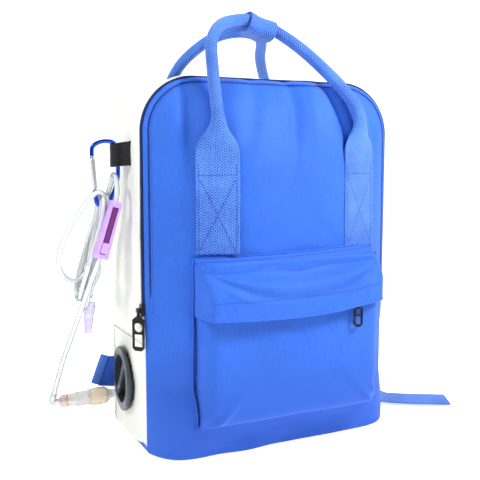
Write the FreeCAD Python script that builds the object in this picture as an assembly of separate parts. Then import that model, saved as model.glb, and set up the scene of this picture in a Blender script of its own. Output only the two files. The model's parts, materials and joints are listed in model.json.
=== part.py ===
"""Backpack-style portable oxygen concentrator: a soft carrying bag with its inner unit, outlet and tubing.

Frame: millimetres, origin on the floor at the centre of the bag's base, +Z up, the pocket side faces -Y,
and the outlet, the vent and the hanging tubing are on the -X side.
"""
import FreeCAD, Part

import math
import os

V = FreeCAD.Vector
X, Y, Z = V(1, 0, 0), V(0, 1, 0), V(0, 0, 1)

# ---- bag ----
WIDTH = 300.0
HEIGHT = 398.0
CORNER = 57.0            # radius of the two top corners
FOOT_CORNER = 6.0        # radius of the two bottom corners
SEAM_Y = -40.0           # where the front panel meets the gusset, along the main zip
REAR_Y = 78.0            # outer face of the back panel
PAD = 5.0                # thickness of the back panel
CLOTH = 2.5              # thickness of a panel with its lining
BASE_UPSTAND = 12.0      # height that the base panel's cloth turns up the sides
# y, half width, bottom, top and top corner radius of the front panel's bulge, from seam to face
BULGE = [(SEAM_Y, 150.0, 0.0, HEIGHT, CORNER), (-62.0, 131.0, 0.0, 385.0, 55.0),
         (-76.0, 112.0, 2.0, 364.0, 49.0), (-88.0, 78.0, 26.0, 330.0, 40.0), (-95.0, 44.0, 60.0, 290.0, 28.0)]
FACE_Y = -95.0

# ---- webbing and handles ----
WEB_X = 86.0             # centre line of each webbing strip
WEB_WIDTH = 45.0
WEB_THICK = 1.6
WEB_BOTTOM, WEB_TOP = 217.0, 308.0
WEB_Y = -88.0            # outer face of the front webbing at its centre line
WEB_SLOPE = 20.5         # degrees that the front webbing turns with the bulge
REAR_WEB_BOTTOM = 332.0
FLARE_TOP = 362.0        # where the webbing has become the rolled handle
HANDLE_R = 6.5
FRONT_HANDLE = [(-88, -85, 362), (-86, -75, 385), (-81, -61, 409), (-76, -47, 434), (-61, -34, 454),
                (-38, -25, 463), (-14, -20, 465), (11, -20, 457), (36, -34, 438), (57, -53, 413),
                (73, -71, 388), (86, -85, 362)]
REAR_HANDLE = [(-78, 90, 362), (-77, 94, 388), (-71, 83, 414), (-59, 55, 438), (-43, 27, 450),
               (-20, 4, 456), (4, 0, 452), (20, 16, 444), (34, 42, 433), (52, 74, 420), (72, 95, 391),
               (78, 90, 362)]

# ---- front pocket ----
POCKET_HALF = 108.0
POCKET_BOTTOM, POCKET_TOP = 37.0, 216.0
POCKET_Y = -104.0        # outer face of the pocket's front wall
POCKET_ZIP_Z = 161.0
POCKET_ZIP_HALF = 84.0   # the front wall is flat this far out, so that the zip runs straight
POCKET_SIDE_Y = -98.0    # outer face of the front wall at the pocket's sides
FLAP_Y = -114.6          # inner face of the flap at its lower edge
FLAP_BOTTOM = 154.0

# ---- zips ----
ZIP_BOTTOM = 156.0       # the main zip's two lower ends
TAPE, TAPE_WIDE = 0.8, 6.0
COIL_WIDE, COIL_TALL = 4.0, 2.2
GAP = 0.3                # clearance between parts that move past each other
PULL_LONG, PULL_WIDE, PULL_THICK = 43.0, 14.0, 1.8
PULL_TURN = -40.0        # degrees that the main pull's blade turns on its neck, so that it faces the front
POCKET_PULL_LONG, POCKET_PULL_WIDE = 29.0, 11.0
PIN_R, PIN_BORE = 1.0, 1.05
MAIN_SLIDER = V(-WIDTH / 2 - TAPE, -38, 157)
POCKET_SLIDER = V(69.5, POCKET_Y, POCKET_ZIP_Z)

# ---- side hanger: webbing loop, carabiner, tube clamp ----
HANG_Y = 2.0
LOOP_Z0, LOOP_Z1 = 306.0, 330.0
LOOP_ROOT_Y = -7.0
WIRE_R = 2.25
HOOK_LINE = [(-191.9, 317), (-191.7, 328), (-180, 333.5), (-165, 331.5), (-163.2, 292), (-175, 265.5),
             (-188, 265), (-188.8, 276)]
GATE_PIVOT = V(-188.8, HANG_Y, 279)
GATE_TIP = V(-191.7, HANG_Y, 316.2)
CLAMP_LOW, CLAMP_HIGH = V(-191, -18, 211.5), V(-172.5, -18, 270)
CLAMP_WIDE, CLAMP_TOP_WIDE, CLAMP_DEEP = 15.5, 11.0, 12.0

# ---- outlet and tube ----
OUTLET_Y, OUTLET_Z = 67.0, 37.0
TUBE_R = 2.75
ELBOW = [(-217.5, 67, 37), (-227.5, 67, 37), (-226, 60, 48)]
FEED = [(-226, 60, 48), (-222.5, 39, 84), (-216.5, 14, 120), (-209.5, -6, 155), (-201, -15, 186),
        (-191, -18, 211.5), (-172.5, -18, 270), (-170.5, -17, 286), (-170.5, -10, 297), (-171, -2, 298),
        (-171.5, 3, 288), (-176, 6, 273)]
LOOSE_LOOP = [(-179, -3, 275), (-187, -6, 281), (-194, -4, 276), (-203, 0, 264), (-214, 5, 247),
              (-223, 8, 229), (-229, 8, 210), (-226, 8, 193), (-217, 8, 184), (-206, 8, 184)]
HANK = [(278, -184, -174, -3, 15), (262, -191, -172, -7, 19), (220, -204, -177, -8, 21),
        (182, -215, -192, -8, 20), (162, -211, -193, -4, 15)]
CONNECTOR_TOP = V(-197, 5, 162)
CONNECTOR_TIP = V(-199.5, 5, 128)
SOCKET_R, SOCKET_DEEP = 2.4, 14.0

# ---- vent and fan ----
VENT = V(-150, 33, 65)
VENT_R, VENT_BORE = 36.5, 27.0
VENT_THICK = 4.0
VENT_TILT = 4.0          # degrees that the flange's front edge stands off the gusset
DUCT = 25.0              # from the gusset to the fan
FAN_HALF, FAN_THICK = 30.0, 15.0

# ---- inner unit ----
CASE = (-110.0, 110.0, -26.0, 66.0, 8.0, 300.0)
CASE_SPLIT_Y = 19.0
CASE_WALL = 2.5
SHAFT_Y, SHAFT_Z = 20.0, 46.0
BUTTONS = {"flow_down_button": -35.0, "power_button": 0.0, "flow_up_button": 35.0}
BUTTON_Y, BUTTON_R = 19.5, 6.5

shapes = {}


# ---------------------------------------------------------------- shape helpers
def box(x0, x1, y0, y1, z0, z1):
    return Part.makeBox(x1 - x0, y1 - y0, z1 - z0, V(x0, y0, z0))


def rod(start, axis, radius, length):
    return Part.makeCylinder(radius, length, start, axis)


def join(*solids):
    return solids[0].multiFuse(list(solids[1:])).removeSplitter()


def group(*solids):
    return Part.makeCompound(list(solids))


def mirrored(shape):
    return shape.mirror(V(0, 0, 0), X)


def prism(points, direction):
    """A polygon's points, pushed along a direction."""
    wire = Part.makePolygon([V(*p) for p in points] + [V(*points[0])])
    return Part.Face(wire).extrude(direction)


def placed(shape, origin, ex, ez):
    """The shape, with its local x along ex and its local z along ez."""
    ey = ez.cross(ex)
    matrix = FreeCAD.Matrix(ex.x, ey.x, ez.x, origin.x, ex.y, ey.y, ez.y, origin.y,
                            ex.z, ey.z, ez.z, origin.z, 0, 0, 0, 1)
    moved = shape.copy()
    moved.Placement = FreeCAD.Placement(matrix).multiply(shape.Placement)
    return moved


def plank(start, end, width, thick, normal):
    """A flat strip from start to end, with its broad face towards normal."""
    ex = (end - start).normalize()
    ez = (normal - ex * normal.dot(ex)).normalize()
    length = start.distanceToPoint(end)
    return placed(box(0, length, -width / 2, width / 2, -thick / 2, thick / 2), start, ex, ez)


def rounded_path(points):
    """Straight runs joined by tangent arcs, with the radius of each arc."""
    points = [V(*p) for p in points]
    edges, radii, last = [], [], points[0]
    for before, corner, after in zip(points, points[1:], points[2:]):
        into = (corner - before).normalize()
        out = (after - corner).normalize()
        half_turn = into.getAngle(out) / 2
        cut = 0.45 * min(before.distanceToPoint(corner), corner.distanceToPoint(after))
        radius = cut / math.tan(half_turn)
        start, end = corner - into * cut, corner + out * cut
        inward = (out - into).normalize()
        middle = corner + inward * (radius / math.cos(half_turn) - radius)
        edges.append(Part.LineSegment(last, start).toShape())
        edges.append(Part.Arc(start, middle, end).toShape())
        radii.append(radius)
        last = end
    edges.append(Part.LineSegment(last, points[-1]).toShape())
    return Part.Wire(edges), radii


def round_bar(points, radius):
    """A round bar or tube along a rounded path."""
    path, radii = rounded_path(points)
    start = V(*points[0])
    direction = (V(*points[1]) - start).normalize()
    section = Part.Wire([Part.Circle(start, direction, radius).toShape()])
    return path.makePipeShell([section], True, False), path, radii


def turned(profile, origin, axis):
    """A solid of revolution: profile is (distance along the axis, radius) from one end to the other."""
    side = Y if abs(axis.y) < 0.5 else X
    points = [origin + axis * a + side * r for a, r in profile]
    first, last = origin + axis * profile[0][0], origin + axis * profile[-1][0]
    wire = Part.makePolygon([first] + points + [last, first])
    return Part.Face(wire).revolve(origin, axis, 360)


def turned_along(profile, origin, axis):
    """A solid of revolution about a slanted axis."""
    solid = turned(profile, V(0, 0, 0), X)
    return placed(solid, origin, axis, Y)


# ---------------------------------------------------------------- bag shell
def outline(y, half, low, high, corner, foot=FOOT_CORNER):
    """The bag's front outline at one depth: square feet with small corners, and round shoulders."""
    def arc(cx, cz, radius, degrees):
        a, b, c = [math.radians(degrees + d) for d in (0, 45, 90)]
        return Part.Arc(*[V(cx + radius * math.cos(t), y, cz + radius * math.sin(t))
                          for t in (a, b, c)]).toShape()

    def line(x0, z0, x1, z1):
        return Part.LineSegment(V(x0, y, z0), V(x1, y, z1)).toShape()
    return Part.Wire([
        line(half, low + foot, half, high - corner), arc(half - corner, high - corner, corner, 0),
        line(half - corner, high, corner - half, high), arc(corner - half, high - corner, corner, 90),
        line(-half, high - corner, -half, low + foot), arc(foot - half, low + foot, foot, 180),
        line(foot - half, low, half - foot, low), arc(half - foot, low + foot, foot, 270)])


def slab(y0, y1, out=0.0):
    """The outline pushed from y0 to y1, grown outwards by out."""
    wire = outline(y0, WIDTH / 2 + out, -out, HEIGHT + out, CORNER + out, FOOT_CORNER + out)
    return Part.Face(wire).extrude(V(0, y1 - y0, 0))


def bulge(inset):
    wires = [outline(y + (inset if y == FACE_Y else 0), half - inset, low + inset, high - inset,
                     corner - inset, FOOT_CORNER - inset) for y, half, low, high, corner in BULGE]
    return Part.makeLoft(wires, True, True)


def make_bag():
    shapes["front_panel"] = bulge(0).cut(bulge(CLOTH))
    gusset_end = REAR_Y - PAD
    ring = slab(SEAM_Y, gusset_end).cut(slab(SEAM_Y, gusset_end, -CLOTH))
    shoulder = HEIGHT - CORNER
    vent_hole = rod(VENT - X * 5, X, VENT_BORE + 2.6, 20)
    outlet_hole = rod(V(-160, OUTLET_Y, OUTLET_Z), X, 5.0, 20)
    side = ring.common(box(-200, 0, -100, 100, BASE_UPSTAND, shoulder))
    shapes["left_gusset"] = side.cut(join(vent_hole, outlet_hole))
    shapes["right_gusset"] = mirrored(side)
    shapes["top_gusset"] = ring.common(box(-200, 200, -100, 100, shoulder, 500))
    shapes["base_panel"] = ring.common(box(-200, 200, -100, 100, -10, BASE_UPSTAND))
    shapes["back_panel"] = slab(gusset_end, REAR_Y)


# ---------------------------------------------------------------- zips
def zip_slider(width):
    """Local x runs along the zip, z outwards from the tape. The pull's pin is at pin_height()."""
    base, top = GAP, COIL_TALL + GAP
    half = COIL_WIDE / 2 + GAP
    plate = box(-6, 6, -width / 2, width / 2, top, top + 1.4)
    rails = [box(-6, 6, side * half if side > 0 else -width / 2,
                 width / 2 if side > 0 else -half, base, top) for side in (-1, 1)]
    return join(plate, *rails)


def pin_height():
    return COIL_TALL + GAP + 1.4 + 2.3


def pull_bail():
    """Two posts and a pin, about the pin's centre: y along the pin, z outwards."""
    posts = [box(-2.2, 2.2, side * 2.2 if side > 0 else -3.6, 3.6 if side > 0 else -2.2, -2.3, 1.4)
             for side in (-1, 1)]
    return join(*posts, rod(V(0, -3.6, 0), Y, PIN_R, 7.2))


def zip_pull(length, width, turn=0.0):
    """Local x runs from the pin to the free end, y along the pin.

    A blade that turns about its length has a round upper hole, and a straight one two square holes.
    """
    wide, thick = width / 2, PULL_THICK / 2
    blade = prism([(6, -1.9, -thick), (10, -wide, -thick), (length - 3, -wide, -thick),
                   (length, 3 - wide, -thick), (length, wide - 3, -thick),
                   (length - 3, wide, -thick), (10, wide, -thick), (6, 1.9, -thick)], Z * PULL_THICK)
    neck = rod(V(0, 0, 0), X, 1.6, 9.5)
    eye = rod(V(0, -1.9, 0), Y, 2.0, 3.8)
    rim = wide - 2.0
    upper, lower = [box(a * length, b * length, -rim, rim, -5, 5) for a, b in ((0.31, 0.53), (0.59, 0.90))]
    if turn:
        upper = upper.makeFillet(4.2, [e for e in upper.Edges if abs(e.tangentAt(0).z) > 0.9])
    blade = blade.cut(group(upper, lower))
    blade.rotate(V(0, 0, 0), X, turn)
    return join(eye, neck, blade).cut(rod(V(0, -5, 0), Y, PIN_BORE, 10))


def make_zips():
    tape = slab(SEAM_Y, SEAM_Y + TAPE_WIDE, TAPE).cut(slab(SEAM_Y, SEAM_Y + TAPE_WIDE))
    coil_y = MAIN_SLIDER.y
    coil = slab(coil_y - COIL_WIDE / 2, coil_y + COIL_WIDE / 2, TAPE + COIL_TALL).cut(
        slab(coil_y - COIL_WIDE / 2, coil_y + COIL_WIDE / 2, TAPE))
    above = box(-200, 200, -100, 100, ZIP_BOTTOM, 500)
    shapes["main_zip_chain"] = join(tape, coil).common(above)
    pin = V(0, 0, pin_height())
    main = join(zip_slider(8), pull_bail().translated(pin))
    shapes["main_zip_slider"] = placed(main, MAIN_SLIDER, Z, -X)
    pull = zip_pull(PULL_LONG, PULL_WIDE, PULL_TURN)
    shapes["main_zip_pull"] = placed(pull, MAIN_SLIDER - X * pin.z, -Z, -X)

    x0, y, z = POCKET_ZIP_HALF, POCKET_Y, POCKET_ZIP_Z
    shapes["pocket_zip_coil"] = box(-x0, x0, y - COIL_TALL, y, z - COIL_WIDE / 2, z + COIL_WIDE / 2)
    body = placed(zip_slider(8), POCKET_SLIDER, -X, -Y)
    hinge = POCKET_SLIDER - Y * pin.z
    bail = placed(pull_bail(), hinge, -Z, -Y)
    shapes["pocket_zip_slider"] = join(body, bail)
    shapes["pocket_zip_pull"] = placed(zip_pull(POCKET_PULL_LONG, POCKET_PULL_WIDE), hinge, -Z, -Y)


# ---------------------------------------------------------------- pocket
def plan(inset):
    """The pocket's outline from above, drawn up as a tall block."""
    half, flat = POCKET_HALF - inset, POCKET_ZIP_HALF + 3 - inset
    side, front = POCKET_SIDE_Y + inset, POCKET_Y + inset
    points = [(-half, -50), (-half, side), (-flat, front), (flat, front), (half, side), (half, -50)]
    return prism([(x, y, 0) for x, y in points], Z * 300)


def pocket_block(inset):
    """The pocket's outer shape, or its hollow, out to the bag's middle."""
    low, high, front = POCKET_BOTTOM + inset, POCKET_TOP - inset, POCKET_Y + inset
    side = [(-50, low), (front + 8, low), (front, low + 14), (front, POCKET_ZIP_Z + 8),
            (-90 + inset, high), (-50, high)]
    return prism([(-150, y, z) for y, z in side], X * 300).common(plan(inset))


def make_pocket():
    bag = bulge(0)
    shapes["front_pocket"] = pocket_block(0).cut(pocket_block(1.8)).cut(bag)
    flap = [(-60, POCKET_TOP), (-60, POCKET_TOP + 2), (-94, POCKET_TOP + 1.5),
            (FLAP_Y - 1.4, POCKET_ZIP_Z + 14), (FLAP_Y - 1.4, FLAP_BOTTOM), (FLAP_Y, FLAP_BOTTOM),
            (FLAP_Y, POCKET_ZIP_Z + 13), (-93, POCKET_TOP)]
    cover = prism([(-POCKET_HALF, y, z) for y, z in flap], X * 2 * POCKET_HALF)
    shapes["pocket_flap"] = cover.cut(pocket_block(0)).cut(bag)


# ---------------------------------------------------------------- webbing and handles
def webbing_strip(side, out):
    """A flat strip sewn on a panel, and the flare that rolls it into the handle. out is -1 at the front."""
    root = V(*(FRONT_HANDLE if out < 0 else REAR_HANDLE)[0 if side < 0 else -1])
    middle = V(side * WEB_X, WEB_Y, 0) if out < 0 else V(root.x, REAR_Y + WEB_THICK, 0)
    turn = math.radians(WEB_SLOPE) * side if out < 0 else 0.0
    across = V(math.cos(turn), math.sin(turn), 0)
    outward = V(across.y, -across.x, 0) * -out
    bottom = WEB_BOTTOM if out < 0 else REAR_WEB_BOTTOM
    top = WEB_TOP if out < 0 else REAR_WEB_BOTTOM + 6

    def section(z, centre, half, inner, outer):
        corners = [centre + across * x + outward * y for x, y in
                   ((-half, inner), (half, inner), (half, outer), (-half, outer), (-half, inner))]
        return Part.makePolygon([c + Z * z for c in corners])
    half = WEB_WIDTH / 2
    flat = Part.makeLoft([section(z, middle, half, -WEB_THICK, 0) for z in (bottom, top)], True, True)
    end = V(root.x, root.y, 0)
    flare = Part.makeLoft([section(top, middle, half, -WEB_THICK, 0),
                           section((top + FLARE_TOP) / 2, middle * 0.6 + end * 0.4, half * 0.68, -2.5, 2.0),
                           section(FLARE_TOP, end, 5.6, -5.2, 5.2)], True, True)
    return join(flat, flare)


def make_handles():
    front, rear = round_bar(FRONT_HANDLE, HANDLE_R)[0], round_bar(REAR_HANDLE, HANDLE_R)[0]
    bag = shapes["front_panel"]
    shapes["front_handle"], shapes["rear_handle"] = front, rear
    spare = group(front, bag, shapes["pocket_flap"])
    shapes["front_webbing"] = group(*[webbing_strip(s, -1).cut(spare) for s in (-1, 1)])
    shapes["rear_webbing"] = group(*[webbing_strip(s, 1).cut(rear) for s in (-1, 1)])
    sleeve = plank(V(-19, -9.5, 463), V(8, -9.5, 454.5), 38, 21, Z)
    shapes["handle_wrap"] = sleeve.cut(group(front, rear))


def make_straps():
    """Padded shoulder straps on the back, their webbing, buckles and corner tabs."""
    outer = [V(0, REAR_Y + 0.5, 330), V(0, 118, 240), V(0, 99, 140)]
    inner = [V(0, 89, 143), V(0, 107, 240), V(0, REAR_Y + 0.5, 314)]
    wire = Part.Wire([Part.Arc(*outer).toShape(), Part.LineSegment(outer[2], inner[0]).toShape(),
                      Part.Arc(*inner).toShape(), Part.LineSegment(inner[2], outer[0]).toShape()])
    strap = Part.Face(wire).extrude(X * 62).translated(V(-99, 0, 0))
    shapes["shoulder_straps"] = group(strap, mirrored(strap))
    buckle = box(-90, -46, 91, 97, 117, 140).cut(group(box(-84, -52, 80, 110, 122, 126),
                                                     box(-84, -52, 80, 110, 131, 135)))
    shapes["strap_buckles"] = group(buckle, mirrored(buckle))
    lower = plank(V(-160, 84, 66), V(-70, 94, 122), 28, WEB_THICK, Y)
    lower = lower.cut(box(-200, 0, 60, 120, 116.7, 200))
    shapes["lower_straps"] = group(lower, mirrored(lower))
    tab = prism([(-138, REAR_Y, 79), (-162, REAR_Y, 79), (-177, REAR_Y, 53), (-166.5, REAR_Y, 43),
                 (-138, REAR_Y, 40)], Y * 4)
    shapes["strap_tabs"] = group(tab, mirrored(tab))
    first = plank(V(176, 112, 0.8), V(181, -6, 0.8), 38, WEB_THICK, Z)
    second = plank(V(166, -2, 2.4), V(258.5, -45, 2.4), 38, WEB_THICK, Z)
    hem = plank(V(248.5, -40.35, 0.8), V(258.5, -45, 0.8), 38, WEB_THICK, Z)
    shapes["strap_tail"] = join(first, second, hem)


# ---------------------------------------------------------------- side hanger
def make_hanger():
    loop_core = [(-150, LOOP_ROOT_Y, 2.4), (-155, LOOP_ROOT_Y + 3, 2.6), (-163.5, HANG_Y, 5.2),
                 (-167, HANG_Y, 5.2)]
    body = prism([(x, y - w, LOOP_Z0) for x, y, w in loop_core]
                 + [(x, y + w, LOOP_Z0) for x, y, w in reversed(loop_core)], Z * (LOOP_Z1 - LOOP_Z0))
    tip = rod(V(-167, HANG_Y, LOOP_Z0), Z, 5.2, LOOP_Z1 - LOOP_Z0)
    eye = join(rod(V(-163.8, HANG_Y, LOOP_Z0), Z, 3.6, 40), rod(V(-167, HANG_Y, LOOP_Z0), Z, 3.6, 40),
               box(-167, -163.8, HANG_Y - 3.6, HANG_Y + 3.6, LOOP_Z0, LOOP_Z0 + 40))
    shapes["carabiner_loop"] = join(body, tip).cut(eye)

    hook = round_bar([(x, HANG_Y, z) for x, z in HOOK_LINE], WIRE_R)[0]
    p = GATE_PIVOT
    clevis = box(p.x - 2.6, p.x + 2.6, p.y - 3.0, p.y + 3.0, p.z - 4.5, p.z + 2.4)
    slot = box(p.x - 5, p.x + 5, p.y - 1.2, p.y + 1.2, p.z - 2.7, p.z + 9)
    shapes["carabiner_hook"] = join(hook, clevis).cut(group(slot, rod(p - Y * 5, Y, 0.9, 10)))
    shapes["carabiner_pin"] = rod(p - Y * 3, Y, 0.9, 6)
    along = (GATE_TIP - p).normalize()
    eye = rod(p - Y, Y, 2.3, 2)
    shank = plank(p, p + along * 5.4, 2, 3.2, X)
    bar = rod(p + along * 4.6, along, 2.7, GATE_TIP.distanceToPoint(p) - 5.3)
    shapes["carabiner_gate"] = join(eye, shank, bar).cut(rod(p - Y * 5, Y, 0.95, 10))


def make_clamp():
    """Local x runs up the clamp, z towards the front, with the tube's bore on the local x axis."""
    axis = (CLAMP_HIGH - CLAMP_LOW).normalize()
    length = CLAMP_LOW.distanceToPoint(CLAMP_HIGH)
    half, top, deep = CLAMP_WIDE / 2, CLAMP_TOP_WIDE / 2, CLAMP_DEEP / 2
    shell = prism([(0, -half, -deep), (length, -top, -deep), (length, top, -deep), (0, half, -deep)],
                  Z * CLAMP_DEEP)
    shell = shell.makeFillet(1.5, [e for e in shell.Edges if e.Length > 20])
    window = box(5, length - 6, -3.4, 3.4, TUBE_R + 0.7, 20)
    body = shell.cut(group(rod(V(-1, 0, 0), X, TUBE_R, length + 2), window))
    button = box(6, 17, -3.1, 3.1, TUBE_R + 1.0, deep + 1.2)
    shapes["clamp_body"] = placed(body, CLAMP_LOW, axis, -Y)
    shapes["clamp_slider"] = placed(button, CLAMP_LOW, axis, -Y)


# ---------------------------------------------------------------- outlet, tube
def make_outlet():
    origin = V(0, OUTLET_Y, OUTLET_Z)
    parts = {
        "outlet_port": [(144, 5.6), (147.2, 5.6), (147.2, 4.8), (150.3, 4.8), (150.3, 5.4), (157.5, 5.6),
                        (163, 8.0)],
        "outlet_bulb": [(163, 8.6), (166, 10.0), (177, 10.2), (183, 9.2)],
        "outlet_cylinder": [(183, 8.6), (196, 7.9), (196, 8.6), (198.5, 8.5), (198.5, 7.7),
                            (210, 6.9)],
        "outlet_ring": [(210, 6.2), (212, 7.2), (215, 7.0), (217.5, 5.0)],
    }
    for name, profile in parts.items():
        shapes[name] = turned(profile, origin, -X)
    shapes["tube_elbow"] = round_bar(ELBOW, 3.6)[0]


def make_tube():
    for name, route in (("oxygen_tube", FEED), ("oxygen_tube_loop", LOOSE_LOOP)):
        solid, path, radii = round_bar(route, TUBE_R)
        ideal = path.Length * math.pi * TUBE_R ** 2
        print(name, "length %.0f mm, volume %.3f of its section times its length, radii" %
              (path.Length, solid.Volume / ideal), ["%.0f" % r for r in radii])
        shapes[name] = solid
    wires = []
    for z, x0, x1, y0, y1 in HANK:
        corners = [V(x0, y0, z), V(x1, y0, z), V(x1, y1, z), V(x0, y1, z), V(x0, y0, z)]
        wires.append(Part.makePolygon(corners))
    room = round_bar([(x, HANG_Y, z) for x, z in HOOK_LINE], WIRE_R + 0.6)[0]
    shapes["tube_hank"] = Part.makeLoft(wires, True, True).cut(room)
    axis = (CONNECTOR_TIP - CONNECTOR_TOP).normalize()
    profile = [(0, 6.2), (10, 6.2), (11, 5.6), (30, 4.0), (CONNECTOR_TOP.distanceToPoint(CONNECTOR_TIP), 3.6)]
    bore = rod(CONNECTOR_TIP - axis * SOCKET_DEEP, axis, SOCKET_R, SOCKET_DEEP + 5)
    shapes["tube_connector"] = turned_along(profile, CONNECTOR_TOP, axis).cut(bore)


# ---------------------------------------------------------------- vent and fan
def make_vent():
    """A flange that is hinged off the gusset about its rear edge, on a straight sleeve down to the fan."""
    x = VENT.x

    def tilted(shape):
        turned_out = shape.copy()
        turned_out.rotate(VENT + Y * VENT_R, Z, -VENT_TILT)
        return turned_out
    flange = rod(VENT, -X, VENT_R, VENT_THICK)
    rim = [e for e in flange.Edges if abs(e.CenterOfMass.x - (x - VENT_THICK)) < 0.1 and e.Length > 100]
    flange = tilted(flange.makeFillet(2.0, rim))
    beyond = tilted(rod(VENT - X * (VENT_THICK - 1), -X, 60, 20))
    sleeve = rod(VENT - X * 9, X, VENT_BORE + 2.5, DUCT + 9).cut(beyond)
    ring = join(flange, sleeve).cut(rod(VENT - X * 20, X, VENT_BORE, 60))
    bar = box(-VENT_BORE - 2, VENT_BORE + 2, -4, 4, 0.5, VENT_THICK - 0.5)
    slope = V(0, -math.sin(math.radians(38)), math.cos(math.radians(38)))
    bar = placed(bar, VENT, slope, -X).common(rod(VENT - X * 9, X, VENT_BORE + 1, 9))
    shapes["vent_bezel"] = join(ring, tilted(bar))
    grille = rod(VENT + X * 12, X, VENT_BORE, 2)
    slots = [box(x, x + 20, VENT.y - 24, VENT.y + 24, VENT.z + k * 7 - 2, VENT.z + k * 7 + 2)
             .common(rod(VENT, X, VENT_BORE - 3, 20)) for k in range(-3, 4)]
    shapes["vent_grille"] = grille.cut(group(*slots))

    hub = VENT + X * DUCT
    frame = box(hub.x, hub.x + FAN_THICK, VENT.y - FAN_HALF, VENT.y + FAN_HALF,
                VENT.z - FAN_HALF, VENT.z + FAN_HALF).cut(rod(hub - X, X, 27.5, FAN_THICK + 2))
    spider = [box(hub.x + 12, hub.x + FAN_THICK, VENT.y - 28, VENT.y + 28, VENT.z - 2, VENT.z + 2),
              box(hub.x + 12, hub.x + FAN_THICK, VENT.y - 2, VENT.y + 2, VENT.z - 28, VENT.z + 28)]
    post = rod(hub + X * 4, X, 2.0, 9)
    shapes["fan_frame"] = join(frame, *spider, rod(hub + X * 12, X, 13, 3), post)
    blades = []
    for k in range(7):
        blade = box(2, 10, -0.8, 0.8, 12, 26)
        blade.rotate(V(6, 0, 0), Z, 32)
        blade.rotate(V(0, 0, 0), X, 360 / 7 * k)
        blades.append(blade.translated(hub))
    rotor = join(rod(hub + X * 1.5, X, 14, 9.5), *blades)
    shapes["fan_rotor"] = rotor.cut(rod(hub + X * 3, X, 2.05, 20))


# ---------------------------------------------------------------- inner unit
def make_case():
    x0, x1, y0, y1, z0, z1 = CASE
    w = CASE_WALL
    shell = box(*CASE)
    shell = shell.makeFillet(8, [e for e in shell.Edges if e.Length > 250])
    shell = shell.cut(box(x0 + w, x1 - w, y0 + w, y1 - w, z0 + w, z1 - w))
    holes = [rod(V(x0 - 5, VENT.y, VENT.z), X, VENT_BORE - 1, 20),
             rod(V(x0 - 5, 56.2, 24), X, 4.0, 20)]
    holes += [rod(V(x, BUTTON_Y, z1 - 10), Z, BUTTON_R + GAP, 20) for x in BUTTONS.values()]
    slots = [box(x1 - 5, x1 + 5, y, y + 3, 30, 80) for y in range(-10, 58, 9)]
    corners = [(x, z) for x in (x0 + 12, x1 - 12) for z in (z0 + 12, 150, z1 - 12)]
    screws = [join(rod(V(x, y1, z), Y, 4, 2.2), rod(V(x, y1 - 7, z), Y, 1.5, 7)) for x, z in corners]
    shell = shell.cut(group(*holes, *slots, *screws))
    shapes["case_front"] = shell.common(box(-200, 200, y0 - 1, CASE_SPLIT_Y, 0, 400))
    shapes["case_rear"] = shell.common(box(-200, 200, CASE_SPLIT_Y, y1 + 1, 0, 400))
    shapes["case_screws"] = group(*screws)
    shapes["isolation_feet"] = group(*[rod(V(x, y, CLOTH), Z, 9, z0 - CLOTH)
                                       for x in (-80, 80) for y in (-8, 46)])
    panel = box(-58, 58, BUTTON_Y - 16, BUTTON_Y + 16, z1, z1 + 2.5)
    panel = panel.makeFillet(6, [e for e in panel.Edges if abs(e.Length - 2.5) < 0.01])
    holes = [rod(V(x, BUTTON_Y, z1 - 1), Z, BUTTON_R + GAP, 9) for x in BUTTONS.values()]
    shapes["control_panel"] = panel.cut(group(*holes))
    for name, x in BUTTONS.items():
        shapes[name] = rod(V(x, BUTTON_Y, z1 - w), Z, BUTTON_R, w + 4.2)


def make_compressor():
    """A motor with a crankcase and a cylinder at each end, all on one shaft along X."""
    def along_x(x, radius, length):
        return rod(V(x, SHAFT_Y, SHAFT_Z), X, radius, length)
    motor = along_x(18, 24, 54).cut(along_x(17, 20.5, 56))
    cases, heads = [], []
    for x in (-10, 74):
        block = box(x, x + 26, SHAFT_Y - 22, SHAFT_Y + 22, SHAFT_Z - 22, SHAFT_Z + 22)
        cavity = box(x + 3, x + 23, SHAFT_Y - 18, SHAFT_Y + 18, SHAFT_Z - 18, SHAFT_Z + 18)
        cases.append(block.cut(cavity).cut(rod(V(x + 13, SHAFT_Y, SHAFT_Z), Z, 11, 30)))
        cylinder = rod(V(x + 13, SHAFT_Y, SHAFT_Z + 22), Z, 13, 13).cut(
            rod(V(x + 13, SHAFT_Y, SHAFT_Z + 21), Z, 11, 12))
        fins = [box(x, x + 26, SHAFT_Y - 17, SHAFT_Y + 17, SHAFT_Z + h, SHAFT_Z + h + 2)
                .cut(rod(V(x + 13, SHAFT_Y, 0), Z, 12, 200)) for h in (25, 29, 33)]
        heads.append(join(cylinder, *fins))
    pistons = [join(rod(V(x + 13, SHAFT_Y, SHAFT_Z + 22), Z, 10.9, 7),
                    rod(V(x + 13, SHAFT_Y, SHAFT_Z + 13), Z, 3, 10)) for x in (-10, 74)]
    left, right = cases
    plates = [along_x(16, 24, 2), along_x(72, 24, 2)]
    housing = join(left, motor, *plates, right)
    shapes["compressor_housing"] = housing.cut(along_x(-30, 4.05, 160))
    shapes["compressor_cylinders"] = group(*heads, *pistons)
    discs = [rod(V(x + 9, SHAFT_Y, SHAFT_Z + lift), X, 9, 8) for x, lift in ((-10, 3), (74, -3))]
    shapes["compressor_rotor"] = join(along_x(-9, 4, 108), along_x(22, 20, 46), *discs)


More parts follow.
